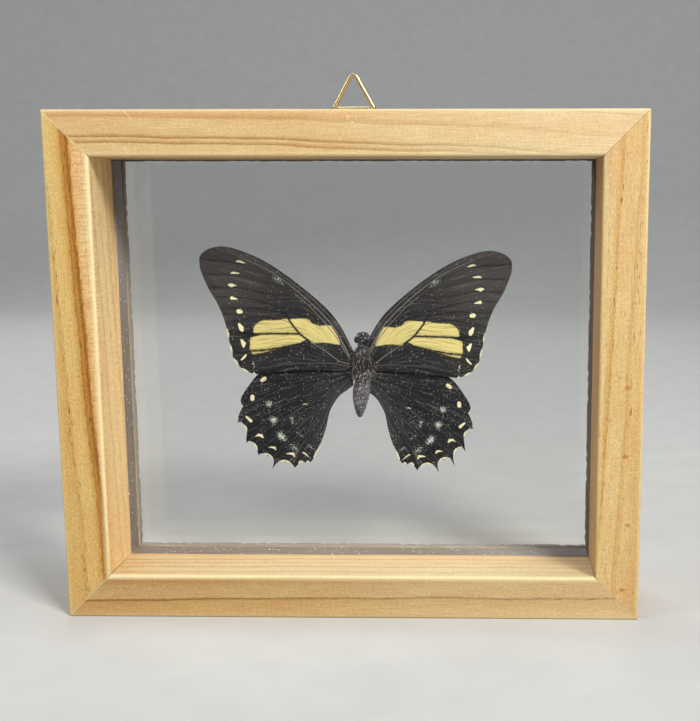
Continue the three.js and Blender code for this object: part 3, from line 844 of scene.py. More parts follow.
def growth_place(at, fans):
    """Where a point is across and along the wing's growth. A fan is a centre, how many mm across lie
    in one radian about it, and an offset. The first fan holds near the body and the last one further
    out, with a smooth step between. The place along is the distance from the first centre."""
    across = [spread * np.arctan2(at[..., 1] - z, at[..., 0] - x) + offset for x, z, spread, offset in fans]
    share = eased(np.clip((at[..., 0] - fan_start) / fan_blend, 0, 1))
    along = np.hypot(at[..., 0] - fans[0][0], at[..., 1] - fans[0][1])
    return np.stack([across[0] + share * (across[-1] - across[0]), along, 0 * along], axis=-1)


def wing_lift(at, fans):
    """How far the dried wing stands forward of its flat plane: a long arch across the span, a slow
    wander, and pleats between the veins that fade in from the root."""
    grown = growth_place(at, fans)
    flat = np.concatenate([at, np.zeros((*at.shape[:-1], 1))], axis=-1)
    pleats = 0.07 * np.sin(grown[..., 0] * 0.85) * np.clip(grown[..., 1] / 25, 0, 1)
    return 0.55 * np.sin(at[..., 0] / 50 * math.pi * 0.9) + 0.28 * wander(flat, 17, 21) + pleats


def placed_wing(at, lift, pose, plane):
    """A left wing's flat places and lift, set on the butterfly: shrunk and turned about the hinge,
    mirrored for the right side, and moved to the body."""
    away = (at - pose["hinge"]) * pose["size"]
    turn = math.radians(pose["turn"])
    x = away[..., 0] * math.cos(turn) - away[..., 1] * math.sin(turn)
    z = away[..., 0] * math.sin(turn) + away[..., 1] * math.cos(turn)
    return np.stack([pose["at"][0] + pose["side"] * x, plane - lift, pose["at"][1] + z], axis=-1)


def off_stroke(at, start, end):
    """The share of the way from start to end at which the stroke is nearest to each point, and how
    far off it the point lies."""
    way = end - start
    share = np.clip(((at - start) @ way) / max(way @ way, 1e-9), 0, 1)
    away = at - start - share[..., None] * way
    return share, np.hypot(away[..., 0], away[..., 1])


def inside_marks(at, marks):
    """How deep inside the nearest mark each point lies, in mm, and below 0 outside. A mark is a chain
    of round dots (x, z, radius) joined by strokes: part of the way along a stroke, its radius is the
    same share between the two dots', and the depth is that radius less the distance."""
    best = np.full(at.shape[:-1], -50.0)
    for mark in marks:
        chain = np.array(mark, float)
        if len(chain) == 1:
            chain = np.repeat(chain, 2, axis=0)
        for a, b in zip(chain[:-1], chain[1:]):
            share, away = off_stroke(at, a[:2], b[:2])
            best = np.maximum(best, a[2] + share * (b[2] - a[2]) - away)
    return best


def inside_outline(at, corners):
    """How deep inside a closed outline each point lies, in mm, and below 0 outside."""
    corners = np.array(corners, float)
    nearest = np.full(at.shape[:-1], 50.0)
    inside = np.zeros(at.shape[:-1], bool)
    for a, b in zip(corners, np.roll(corners, -1, axis=0)):
        nearest = np.minimum(nearest, off_stroke(at, a, b)[1])
        crosses = (a[1] > at[..., 1]) != (b[1] > at[..., 1])
        slope = (b[0] - a[0]) / ((b[1] - a[1]) or 1.0)
        inside ^= crosses & (at[..., 0] < a[0] + (at[..., 1] - a[1]) * slope)
    return np.where(inside, nearest, -nearest)


yellow_patches = [
    [(21.7, 91.3), (19.7, 91.4), (17.6, 91.5), (16.3, 91.5), (15.3, 91.1), (14.5, 90.0), (12.0, 89.1),
     (9.3, 89.4), (8.2, 89.0), (7.2, 87.3), (6.1, 85.3), (5.3, 83.4), (5.9, 82.8), (7.2, 83.0),
     (8.8, 83.4), (11.3, 83.6), (13.8, 83.4), (15.1, 83.8), (16.3, 84.8), (18.4, 86.7), (19.7, 88.2),
     (21.3, 90.3)],
    [(33.6, 87.1), (33.4, 88.6), (32.6, 89.6), (31.3, 90.5), (29.7, 90.9), (25.5, 90.95),
     (23.8, 91.3), (22.1, 91.3), (21.4, 90.0), (20.2, 88.6), (18.5, 86.6), (26.3, 86.65),
     (33.4, 86.6)],
    [(34.7, 85.2), (34.9, 81.3), (34.3, 81.1), (29.7, 81.5), (26.3, 81.9), (22.2, 82.8),
     (18.4, 83.6), (16.3, 84.6), (17.4, 85.7), (18.4, 86.3), (26.3, 86.3), (31.3, 86.1)],
    [(34.7, 80.8), (34.0, 79.7), (31.0, 80.2), (27.0, 81.2), (23.5, 82.1), (29.7, 81.2)],
]
fore_spots = [
    [(38.3, 109.7, 0.42), (37.3, 109.8, 0.52), (36.6, 109.5, 0.50), (35.6, 109.2, 0.32)],
    [(40.6, 106.0, 0.34), (39.2, 106.1, 0.54), (37.5, 105.9, 0.34)],
    [(41.2, 102.3, 0.42), (40.2, 102.1, 0.80), (38.9, 102.1, 0.38), (38.2, 102.0, 0.28)],
    [(40.2, 98.0, 0.75), (39.2, 97.8, 0.52), (38.1, 97.6, 0.28)],
    [(38.1, 93.7, 0.92), (37.4, 93.6, 0.80)],
    [(38.1, 89.5, 0.60), (37.4, 88.3, 0.98), (37.2, 87.7, 0.75)],
    [(37.5, 84.3, 0.55), (36.8, 83.2, 0.90), (36.9, 82.3, 0.55)],
    [(37.7, 77.9, 0.45), (36.7, 78.9, 0.55), (36.1, 79.6, 0.42)],
    [(37.3, 76.3, 0.40)],
]
# white fringe on the forewing's outer edge, as stretches of its length measured from the tip
fore_fringe_runs = [(21.2, 24.2), (26.6, 29.6), (31.4, 33.6), (35.0, 37.8), (39.0, 41.2)]
fore_scratches = [
    [(34.1, 77.5, 0.10), (33.7, 76.9, 0.13), (34.0, 76.4, 0.08)],
    [(33.4, 76.2, 0.12), (33.7, 75.6, 0.14), (33.9, 75.1, 0.08)],
]
fore_powder = [[(26.4, 104.6, 0.9), (25.0, 104.0, 1.3), (23.4, 102.8, 0.7)]]
hind_spots = [
    [(31.3, 71.1, 0.80), (30.4, 71.7, 0.80)],
    [(34.6, 65.7, 0.85), (34.7, 64.9, 0.85)],
    [(36.8, 59.0, 0.50), (36.0, 58.3, 0.62), (35.3, 57.6, 0.68)],
    [(34.0, 52.3, 0.25), (33.1, 53.0, 0.52), (32.0, 52.7, 0.70), (31.5, 52.0, 0.35)],
    [(29.8, 48.7, 0.30), (28.7, 48.9, 0.45), (27.8, 48.6, 0.62), (27.3, 47.8, 0.28)],
    [(24.1, 46.6, 0.28), (22.9, 46.7, 0.50), (21.8, 46.6, 0.65), (21.1, 45.5, 0.28)],
    [(18.9, 47.0, 0.25), (18.2, 46.9, 0.45), (17.3, 46.2, 0.40), (16.0, 44.9, 0.30)],
]
# white fringe on the hindwing: a short run under its outer corner and one on its inner edge, as places,
# and the dips between its tails, as shares of each dip from its outer end
hind_fringe = [[(38.4, 63.2, 0.10), (38.1, 62.4, 0.30)],
               [(15.0, 45.2, 0.16), (14.2, 46.8, 0.32), (13.8, 48.0, 0.14)]]
dip_fringe_runs = [(0.1, 0.55), (0.1, 0.95), (0.06, 0.96), (0.04, 0.96), (0.1, 0.95), (0.1, 0.9)]
hind_powder = [
    [(29.4, 68.4, 0.55), (29.6, 67.5, 0.4)], [(29.2, 63.2, 1.6)], [(27.9, 57.9, 1.75)],
    [(25.9, 53.0, 1.7), (25.0, 52.0, 1.6)], [(22.2, 49.3, 1.1), (20.8, 48.2, 1.2)],
    [(16.6, 49.6, 0.8), (15.4, 48.2, 0.9)], [(15.5, 51.0, 0.45)], [(21.9, 58.6, 1.0), (21.6, 56.8, 0.8)],
    [(20.3, 53.8, 0.7), (18.4, 52.3, 0.8)], [(25.2, 58.3, 0.3)],
]
hind_scratches = [[(18.2, 63.1, 0.10), (17.2, 63.3, 0.15), (16.5, 63.1, 0.08)]]
spot_trim = 0.20         # how much the scales' ragged edges take off each spot

# veins as lines of places, each with its radius at the root and at the tip, and how pale it is
fore_veins = [
    ([(2.0, 81.0), (6.0, 88.6), (13.0, 96.6), (24.0, 105.4), (36.0, 112.2)], 0.18, 0.10, 0.22),
    ([(2.5, 79.0), (8.2, 89.4), (17.0, 98.6), (28.0, 106.9), (38.0, 111.4)], 0.22, 0.11, 0.42),
    ([(2.4, 78.0), (8.0, 87.0), (14.8, 95.0), (20.0, 99.6)], 0.20, 0.13, 0.35),
    ([(2.6, 76.6), (6.0, 77.6), (10.0, 80.6), (15.1, 83.8)], 0.17, 0.13, 0.50),
    ([(15.1, 83.8), (18.5, 86.6), (21.3, 90.2), (22.8, 93.0)], 0.15, 0.13, 0.0),
    ([(20.0, 99.6), (21.5, 97.0), (22.8, 95.0), (23.2, 93.6), (22.5, 92.2)], 0.10, 0.10, 0.35),
    ([(17.5, 98.4), (26.0, 104.3), (36.0, 108.8), (50.1, 110.4)], 0.15, 0.08, 0.08),
    ([(20.0, 99.6), (30.0, 103.4), (39.0, 105.4), (49.6, 105.4)], 0.14, 0.08, 0.08),
    ([(21.8, 96.8), (31.0, 99.8), (40.0, 101.4), (47.6, 101.3)], 0.13, 0.08, 0.05),
    ([(23.0, 94.6), (31.0, 97.0), (39.0, 98.2), (46.0, 98.2)], 0.13, 0.08, 0.0),
    ([(22.9, 93.2), (32.0, 94.6), (44.2, 94.6)], 0.13, 0.08, 0.0),
    ([(21.3, 90.2), (30.0, 91.8), (42.6, 90.2)], 0.14, 0.08, 0.0),
    ([(18.5, 86.5), (27.0, 86.5), (34.5, 86.4), (42.0, 87.2)], 0.16, 0.09, 0.0),
    ([(15.1, 83.8), (22.2, 82.4), (30.0, 81.2), (35.5, 80.8), (41.0, 80.4)], 0.17, 0.09, 0.0),
    ([(2.6, 75.8), (10.0, 76.9), (20.0, 76.7), (30.0, 75.6), (38.6, 75.9)], 0.22, 0.09, 0.18),
]
hind_veins = [
    ([(2.5, 74.4), (10.0, 75.6), (20.0, 75.6), (27.0, 74.4), (33.0, 71.4)], 0.20, 0.08, 0.1),
    ([(3.0, 73.4), (12.0, 73.8), (18.0, 73.9), (24.0, 73.4), (30.5, 71.3), (37.0, 66.6)], 0.20, 0.08,
     0.0),
    ([(3.0, 72.9), (12.0, 71.4), (21.0, 70.0), (28.5, 67.6), (38.4, 61.0)], 0.19, 0.09, 0.0),
    ([(12.0, 71.4), (21.0, 66.2), (30.0, 60.2), (37.5, 56.2)], 0.16, 0.09, 0.0),
    ([(13.0, 68.0), (21.0, 61.6), (29.0, 54.8), (35.0, 50.0)], 0.15, 0.09, 0.0),
    ([(3.2, 72.2), (10.0, 68.4), (17.0, 60.2), (24.0, 52.2), (30.5, 45.6)], 0.19, 0.09, 0.0),
    ([(3.2, 71.8), (9.5, 66.6), (15.0, 58.0), (20.0, 50.2), (24.5, 43.8)], 0.18, 0.09, 0.08),
    ([(3.0, 71.4), (8.0, 66.6), (12.5, 58.6), (16.0, 50.4), (19.0, 44.2)], 0.17, 0.09, 0.15),
    ([(3.0, 71.0), (7.0, 66.8), (11.3, 58.0), (14.2, 50.0)], 0.15, 0.08, 0.2),
    ([(2.6, 74.5), (8.0, 74.5), (14.0, 74.3)], 0.15, 0.06, 0.6),
    ([(2.6, 73.6), (8.0, 73.3), (13.0, 72.9)], 0.15, 0.06, 0.5),
]


def full_turn(count):
    """Even angles all round, from 0 on."""
    return np.linspace(0, 2 * math.pi, count, endpoint=False)


def rod_faces(rows, columns):
    """Faces of a rod whose rows are closed loops, and whose last two points are its two ends."""
    i = np.arange(columns)
    after = (i + 1) % columns
    count = rows * columns
    last = count - columns
    return [grid_faces(rows, columns, closed=True),
            np.stack([np.full(columns, count), after, i], axis=1),
            np.stack([np.full(columns, count + 1), last + i, last + after], axis=1)]


def tube(line, radii, flat, sides, normal=None):
    """A round rod along a line of points in 3-D, with a point at each end. Ring k lies about point k
    in the plane of the two side directions there: normal, or the one nearest to -Y, and its cross
    product with the line's way. flat is its height over its width. Gives points and faces."""
    way = unit(np.gradient(line, axis=0))
    up = np.broadcast_to(np.array([0.0, -1.0, 0.0]) if normal is None else normal, line.shape)
    up = unit(up - np.einsum("ij,ij->i", up, way)[:, None] * way)
    side = np.cross(way, up)
    turn = full_turn(sides)
    rings = line[:, None] + radii[:, None, None] * (
        np.cos(turn)[None, :, None] * side[:, None] + flat * np.sin(turn)[None, :, None] * up[:, None])
    ends = [line[0] - way[0] * radii[0] * 0.5, line[-1] + way[-1] * radii[-1] * 0.5]
    return np.concatenate([rings.reshape(-1, 3), ends]), rod_faces(len(line), sides)


def add_wing(name, rim, out, hub, fans, veins, plane, material, marks):
    """One wing: a fan of rings for each face of the membrane, joined at the rim, and a rod for each
    vein. The marks are kept as depths on its points."""
    pose = wing_poses[name]
    rings = fan(rim, out, np.array(hub, float), wing_rings)
    rows, columns = rings.shape[:2]
    flat = np.concatenate([np.array([hub], float), rings.reshape(-1, 2)])
    thin = np.concatenate([[1.0], np.repeat(1 - 0.6 * np.linspace(0, 1, rows) ** 12, columns)])
    lift = wing_lift(flat, fans)
    front = placed_wing(flat, lift + membrane / 2 * thin, pose, plane)
    back = placed_wing(flat, lift - membrane / 2 * thin, pose, plane)
    count = len(flat)
    around = np.arange(columns)
    after = (around + 1) % columns
    hub_faces = np.stack([np.zeros(columns, int), 1 + after, 1 + around], axis=1)
    sheet = grid_faces(rows, columns, closed=True) + 1
    rim_start = 1 + (rows - 1) * columns
    rim_faces = np.stack([rim_start + around, rim_start + after, count + rim_start + after,
                          count + rim_start + around], axis=1)
    skin = [hub_faces, sheet, (hub_faces + count)[:, ::-1], (sheet + count)[:, ::-1], rim_faces]
    parts = [(np.concatenate([front, back]), skin)]
    pale = [np.zeros(2 * count)]
    on_vein = [np.zeros(2 * count)]
    flat_all = [flat, flat]
    for line, thick, slim, whiteness in veins:
        line = evenly(curve_through(line, 60), vein_step)
        middle = placed_wing(line, wing_lift(line, fans), pose, plane)
        radii = np.linspace(thick, slim, len(line))
        points, faces = tube(middle, radii, vein_flatness, vein_sides)
        parts.append((points, faces))
        pale.append(np.full(len(points), whiteness))
        on_vein.append(np.ones(len(points)))
        flat_all.append(np.concatenate([np.repeat(line, vein_sides, axis=0), line[:1], line[-1:]]))
    piece = add_piece("dried_" + name, parts, material, "frame", smooth_under=60)
    flat_all = np.concatenate(flat_all)
    add_numbers(piece, "growth", growth_place(flat_all, fans))
    add_numbers(piece, "wing_place", np.column_stack([flat_all, np.zeros(len(flat_all))]))
    add_numbers(piece, "pale", np.concatenate(pale))
    add_numbers(piece, "vein", np.concatenate(on_vein))
    for mark, depth in marks(flat_all).items():
        add_numbers(piece, mark, np.clip(depth, -3, 3))
    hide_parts(name)


# Scales: the ground colour with its streaks along the growth, specks of loose pale scales, and the
# marks over it, each with an edge made ragged by the rows of scales.
wing_scales, given, result = new_group(
    "wing_scales", {"Growth": "v", "Place": "v", "Ground": "c", "Tip": "c", "Marks": "f",
                    "Mark Colour": "c", "Band": "f", "Powder": "f", "Vein": "f", "Pale": "f",
                    "Fold": "f", "Tip Share": "f", "Specks": "f"},
    {"Color": "c", "Roughness": "f", "Height": "f"})
tree = wing_scales
streaks = noise(tree, given["Growth"], (1.6, 0.10, 1), detail=4, roughness=0.6)
rows_of_scales = noise(tree, given["Growth"], (2.2, 2.8, 1), seed=2)
ragged = noise(tree, given["Growth"], (3.4, 1.3, 1), detail=3, roughness=0.7, seed=4)
rag = maths(tree, "SUBTRACT", ragged, 0.5)
cells = add_node(tree, "ShaderNodeTexVoronoi", {"Vector": given["Place"], "Scale": 1.9})
chosen, shade = add_node(tree, "ShaderNodeSeparateColor", {0: cells.outputs["Color"]}).outputs[:2]
gathered = step_up(tree, noise(tree, given["Place"], scale=0.16, seed=8), 0.35, 0.68, 0.3, 1.6)
cut = maths(tree, "SUBTRACT", 1.0, maths(tree, "MULTIPLY", given["Specks"], gathered))
speck = maths(tree, "MULTIPLY", step_up(tree, cells.outputs["Distance"], 0.30, 0.12),
              step_up(tree, chosen, cut, maths(tree, "ADD", cut, 0.03)))
speck = maths(tree, "MULTIPLY", speck, step_linear(tree, shade, -0.6, 1.1))
grit = noise(tree, given["Place"], scale=2.2, detail=3, roughness=0.9, seed=6)
powder = maths(tree, "MULTIPLY_ADD", given["Powder"], 0.14, grit)
band = maths(tree, "MULTIPLY_ADD", rag, 1.8, given["Band"])
mark = maths(tree, "MULTIPLY_ADD", rag, 0.32, given["Marks"])
yellow = painted(tree, colour(205, 189, 123),
                 (step_up(tree, streaks, 0.47, 0.62, 0, 0.75), colour(146, 127, 68)),
                 (step_up(tree, given["Band"], 0.35, 0.0, 0, 0.6), colour(142, 122, 60)))
scales = painted(
    tree, given["Ground"], (given["Tip Share"], given["Tip"]),
    (step_up(tree, streaks, 0.50, 0.70, 0, 0.65), colour(104, 98, 96)),
    (step_up(tree, given["Fold"], -0.22, 0.30, 0, 0.65), colour(10, 9, 11)),
    (step_up(tree, streaks, 0.46, 0.30, 0, 0.6), colour(10, 10, 12)),
    (step_up(tree, rows_of_scales, 0.56, 0.74, 0, 0.35), colour(122, 117, 114)),
    (speck, colour(205, 205, 198)),
    (step_up(tree, powder, 0.61, 0.68, 0, 0.9), colour(196, 204, 190)),
    (step_up(tree, band, -0.05, 0.10), yellow),
    (step_up(tree, mark, -0.06, 0.06), given["Mark Colour"]),
    (given["Vein"], mixed(tree, given["Pale"], colour(22, 20, 22), colour(172, 164, 158))))
tree.links.new(scales, result["Color"])
tree.links.new(step_up(tree, streaks, 0.3, 0.7, 0.55, 0.72), result["Roughness"])
tree.links.new(maths(tree, "MULTIPLY_ADD", rows_of_scales, 0.6, streaks), result["Height"])


def scale_material(name, ground, tip, specks, tip_specks):
    """The scales of a pair of wings. specks are how many pale ones lie on the ground and at the tip."""
    material, tree, shader = new_material(name, Specular_IOR_Level=0.25, Sheen_Weight=0.10,
                                          Sheen_Roughness=0.4, Sheen_Tint=(0.75, 0.78, 0.9, 1))
    read = {socket: attribute(tree, socket.lower().replace(" ", "_"))
            for socket in ("Marks", "Band", "Powder", "Vein", "Pale", "Fold", "Tip Share")}
    scales = use_group(tree, wing_scales, Growth=attribute(tree, "growth", "Vector"),
                       Place=attribute(tree, "wing_place", "Vector"), Ground=ground, Tip=tip,
                       Mark_Colour=colour(222, 213, 170), Specks=maths(
                           tree, "MULTIPLY_ADD", read["Tip Share"], tip_specks - specks, specks),
                       **{socket.replace(" ", "_"): value for socket, value in read.items()})
    add_finish(tree, shader, scales["Color"], scales["Roughness"], scales["Height"], 0.06)
    return material


def vein_marks(veins, step, radius):
    """Veins as marks: each a chain of dots of the radius, a step apart."""
    lines = [evenly(curve_through(vein[0], 60), step) for vein in veins]
    return [np.column_stack([line, np.full(len(line), radius)]) for line in lines]


def dark_folds(at, veins):
    """How near each point is to a dark vein: 0.35 on it, falling by the distance in mm."""
    return inside_marks(at, vein_marks([vein for vein in veins if vein[3] < 0.2], 2.0, 0.35))


def edge_fringe(line, low, high):
    """A mark along a stretch of an edge, from share low to high of its points: a line of dots that
    swell to half a millimetre and shrink again."""
    run = line[round(low * (len(line) - 1)):round(high * (len(line) - 1)) + 1]
    swell = 0.19 + 0.28 * np.sin(np.linspace(0, math.pi, len(run)))
    return np.column_stack([run, swell])


edge_step = 0.4
outer_edge = evenly(curve_through(forewing_loop[1], 200), edge_step)
outer_length = edge_step * (len(outer_edge) - 1)
fore_fringe = [edge_fringe(outer_edge, low / outer_length, high / outer_length)
               for low, high in fore_fringe_runs]
hind_fringe += [edge_fringe(dip, *run)
                for dip, run in zip(hindwing_rim(rim_step, worn=True)[2], dip_fringe_runs)]
# the dark veins that part the yellow band
band_veins = vein_marks([fore_veins[i] for i in (4, 12, 13)], 1.0, 0.27)


def fore_marks(at):
    """The forewing's band, spots, fringe and dusting, and the brown that comes in towards the tip."""
    return {
        "band": np.minimum(np.max([inside_outline(at, patch) for patch in yellow_patches], axis=0),
                           -inside_marks(at, band_veins)),
        "marks": np.maximum(inside_marks(at, fore_spots) - spot_trim,
                            inside_marks(at, fore_fringe + fore_scratches)),
        "powder": inside_marks(at, fore_powder),
        "fold": dark_folds(at, fore_veins),
        "tip_share": np.clip((at[..., 0] - 14) / 26, 0, 1) * np.clip((at[..., 1] - 84) / 14, 0.15, 1),
    }


def hind_marks(at):
    """The hindwing's crescents, fringe and powder spots."""
    return {
        "band": np.full(at.shape[:-1], -3.0),
        "marks": np.maximum(inside_marks(at, hind_spots) - spot_trim,
                            inside_marks(at, hind_fringe + hind_scratches)),
        "powder": inside_marks(at, hind_powder),
        "fold": dark_folds(at, hind_veins),
        "tip_share": np.clip(1 - (at[..., 0] - 6) / 12, 0, 1) * np.clip((76 - at[..., 1]) / 6, 0, 1),
    }


fore_scales = scale_material("forewing_scales", colour(21, 20, 24), colour(60, 55, 54), 0.30, 0.03)
hind_scales = scale_material("hindwing_scales", colour(17, 16, 22), colour(42, 41, 43), 0.34, 0.52)
# the forewing's growth fans out from its root, then runs out nearly level, as its veins do
fore_fans = [(-1.0, 76.0, 30.0, 0.0), (-20.0, 90.0, 60.0, 18.5)]
hind_fans = [(0.0, 74.5, 30.0, 0.0)]
for side in ("left", "right"):
    rim, out = forewing_rim(rim_step)
    add_wing("forewing_" + side, rim, out, (27, 90), fore_fans, fore_veins, fore_plane, fore_scales,
             fore_marks)
    rim, out, _ = hindwing_rim(rim_step, worn=side == "left")
    add_wing("hindwing_" + side, rim, out, (21, 61), hind_fans, hind_veins, hind_plane,
             hind_scales, hind_marks)

# ---- butterfly body ---------------------------------------------------------------------------------
# The dried body: a small head, a furry thorax that the wings join, and a tapered abdomen of ringed
# segments covered in short grey scales. It is one piece, a skin with hair on it.

body_middle = sum(corner[1] for corner in box_corners("butterfly_body")) / 2
# height, middle across, half width, half thickness
body_stations = [
    (87.05, 1.7, 0.2, 0.2), (86.7, 1.7, 1.3, 1.1), (85.6, 1.7, 2.2, 1.9), (84.4, 1.7, 2.35, 2.1),
    (83.1, 1.8, 1.65, 1.75), (82.3, 1.85, 1.8, 2.0), (81.0, 1.95, 2.8, 2.8), (79.0, 2.0, 3.4, 3.2),
    (76.0, 2.0, 3.6, 3.35), (73.4, 1.75, 3.2, 3.1), (71.4, 1.5, 2.45, 2.5), (70.4, 1.35, 2.5, 2.55),
    (68.6, 1.15, 2.8, 2.75), (66.0, 0.9, 2.65, 2.65), (63.2, 0.65, 2.1, 2.2), (60.8, 0.48, 1.35, 1.5),
    (59.3, 0.4, 0.6, 0.7), (58.85, 0.4, 0.12, 0.12),
]
abdomen_top = 70.6
segment_length = 1.55
skin_lumps = 0.07
fur_margin = 0.08        # kept clear of the panes


def body_girth(height):
    """Middle across, half width and half thickness at each height, by smooth curves between the
    stations. Below the thorax each segment swells a little and the joint after it draws in."""
    curve = curve_through(body_stations, 600)[::-1]
    middle, width, thick = (np.interp(height, curve[:, 0], curve[:, i]) for i in (1, 2, 3))
    along = ((abdomen_top - height) / segment_length) % 1
    swell = np.where(height < abdomen_top, 0.05 * (4 * along * (1 - along)) ** 0.6 - 0.035, 0)
    return middle, width * (1 + swell), thick * (1 + swell)


def body_point(height, turn, stand=0.0):
    """A place on the body: turn goes round it from its right side through its front, and stand lifts
    it off the skin."""
    middle, width, thick = body_girth(height)
    return np.stack(np.broadcast_arrays(
        middle + (width + stand) * np.cos(turn), body_middle - (thick + stand) * np.sin(turn),
        height), axis=-1)


def body_skin(rows, around):
    """Rings from the crown to the tip, with a point at each end."""
    height = np.linspace(body_stations[0][0], body_stations[-1][0], rows)
    turn = full_turn(around)
    rings = body_point(height[:, None], turn[None, :])
    lumps = skin_lumps * wander(rings, 1.3, 31) * np.clip((height - abdomen_top) / 1.5, 0.25, 1)[:, None]
    rings = body_point(height[:, None], turn[None, :], lumps)
    ends = [(body_stations[0][1], body_middle, body_stations[0][0] + 0.05),
            (body_stations[-1][1], body_middle, body_stations[-1][0] - 0.05)]
    return np.concatenate([rings.reshape(-1, 3), ends]), rod_faces(rows, around)


def hairs(roots, ways, length, width):
    """Tapered hairs, each a three-sided rod of two rings and a tip. A hair leaves its root along its
    way and droops towards -Z by a fifth of its length. Gives points and faces."""
    ways = unit(ways)
    side = unit(np.cross(ways, (0.31, 0.55, 0.77)))
    other = np.cross(ways, side)
    turn = np.radians([0, 120, 240])
    star = np.cos(turn)[None, :, None] * side[:, None] + np.sin(turn)[None, :, None] * other[:, None]
    middle = roots + ways * (length * 0.55)[:, None]
    tip = roots + ways * length[:, None] - np.array([0, 0, 0.2]) * length[:, None]
    points = np.concatenate([roots[:, None] + star * width[:, None, None],
                             middle[:, None] + star * 0.6 * width[:, None, None], tip[:, None]], axis=1)
    shape = [[0, 2, 1], [0, 1, 4, 3], [1, 2, 5, 4], [2, 0, 3, 5], [3, 4, 6], [4, 5, 6], [5, 3, 6]]
    start = 7 * np.arange(len(roots))[:, None]
    return points.reshape(-1, 3), [np.array(corners)[None] + start for corners in shape]


def body_hair(count, low, high, length, width, lean, seed):
    """Hairs spread over the skin between two heights. They lean from straight out towards the tail
    by lean, from 0 to 1, each a little differently."""
    draw = np.random.default_rng(seed)
    height = draw.uniform(low, high, count)
    turn = draw.uniform(0, 2 * math.pi, count)
    roots = body_point(height, turn, -0.05)
    out = body_point(height, turn, 1.0) - body_point(height, turn, 0.0)
    ways = (1 - lean) * out + lean * np.array([0, 0, -1.0]) + draw.normal(0, 0.22, (count, 3))
    return hairs(roots, ways, length * draw.uniform(0.5, 1.2, count), width * draw.uniform(0.7, 1.2, count))


def inside_gap(points, margin):
    """Points kept between the panes by the margin."""
    _, (_, front, _) = box_corners("front_pane")
    (_, back, _), _ = box_corners("back_pane")
    points[:, 1] = np.clip(points[:, 1], front + margin, back - margin)
    return points


skin = body_skin(rows=170, around=72)
# how many hairs, from what height to what height, their length, width and lean, and the seed
fur = [
    body_hair(2600, 71.5, 82.2, 1.25, 0.040, 0.55, 41),
    body_hair(700, 72.0, 81.5, 1.9, 0.032, 0.45, 42),
    body_hair(900, 82.4, 86.7, 0.55, 0.035, 0.20, 43),
    body_hair(3200, 59.2, 71.2, 0.42, 0.036, 0.86, 44),
    body_hair(230, 71.0, 82.0, 1.25, 0.13, 0.72, 45),
]
pale_fur = len(fur) - 1
for points, _ in fur:
    inside_gap(points, fur_margin)
body_tone = np.concatenate([np.zeros(len(skin[0]))] + [
    np.repeat(np.random.default_rng(50 + i).uniform(i == pale_fur, 1, len(part[0]) // 7), 7)
    for i, part in enumerate(fur)])

fur_material, tree, shader = new_material("body_fur", Specular_IOR_Level=0.35, Sheen_Weight=0.12)
place = object_place(tree)
across, _, height = along_axes(tree, place)
patches = noise(tree, place, scale=0.55, detail=3, seed=1)
fine = noise(tree, place, (2.6, 2.6, 0.9), detail=3, roughness=0.7, seed=3)
granules = add_node(tree, "ShaderNodeTexVoronoi", {"Vector": place, "Scale": 1.1}).outputs["Distance"]
low_thorax = step_up(tree, height, 78.0, 73.5, 0.02, 0.30)
thorax_tone = painted(
    tree, colour(14, 12, 15), (step_up(tree, fine, 0.38, 0.68), colour(44, 39, 41)),
    (step_up(tree, patches, 0.58, 0.66, 0, 0.4), colour(124, 110, 100)),
    (maths(tree, "LESS_THAN", granules, low_thorax), colour(204, 200, 192)))
# how many segments down the abdomen, with a slant and a waver
gone = maths(tree, "DIVIDE", maths(tree, "SUBTRACT", abdomen_top, height), segment_length)
gone = maths(tree, "MULTIPLY_ADD", across, 0.16, maths(tree, "MULTIPLY_ADD", patches, 2.2, gone))
abdomen_tone = painted(
    tree, colour(40, 37, 42), (step_up(tree, fine, 0.40, 0.64), colour(152, 146, 154)),
    (step_up(tree, maths(tree, "FRACT", gone), 0.5, 0.95, 0, 0.6), colour(34, 31, 36)))
# the head's pale blue-white flecks are painted highlights
flecks = noise(tree, place, scale=1.1, detail=3, roughness=0.7, seed=5)
head_tone = mixed(tree, step_up(tree, flecks, 0.56, 0.63), colour(18, 16, 22), colour(176, 178, 200))
tone = painted(
    tree, thorax_tone, (step_up(tree, height, abdomen_top + 1.0, abdomen_top - 1.2), abdomen_tone),
    (step_up(tree, height, 82.2, 83.2), head_tone),
    (step_up(tree, attribute(tree, "hair_tone"), 0.92, 0.98, 0, 0.85), colour(206, 197, 190)))
add_finish(tree, shader, tone, step_up(tree, fine, 0.3, 0.7, 0.5, 0.75), fine, 0.10)
piece = add_piece("butterfly_body_fur", [skin, *fur], fur_material, "frame",
                  smooth_under=70)
add_numbers(piece, "hair_tone", body_tone)
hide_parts("butterfly_body")

# ---- eyes -------------------------------------------------------------------------------------------
# Two round compound eyes, one on each side of the head, dark and glossy with a fine facetted skin.

eyes = {"left": (-0.15, -0.9, 84.5), "right": (3.45, -0.9, 84.9)}
eye_radii = (0.8925, 1.05, 1.155)


def ball(centre, radii, rows, around):
    """An ellipsoid: turn runs round the axis and fall from pole to pole. Gives points and faces."""
    fall = np.linspace(0, math.pi, rows + 2)[1:-1][:, None]
    turn = full_turn(around)[None, :]
    rings = np.stack(np.broadcast_arrays(np.sin(fall) * np.cos(turn), np.sin(fall) * np.sin(turn),
                                         np.cos(fall)), axis=-1)
    points = np.concatenate([rings.reshape(-1, 3), [(0, 0, 1), (0, 0, -1)]]) * radii + centre
    return points, rod_faces(rows, around)


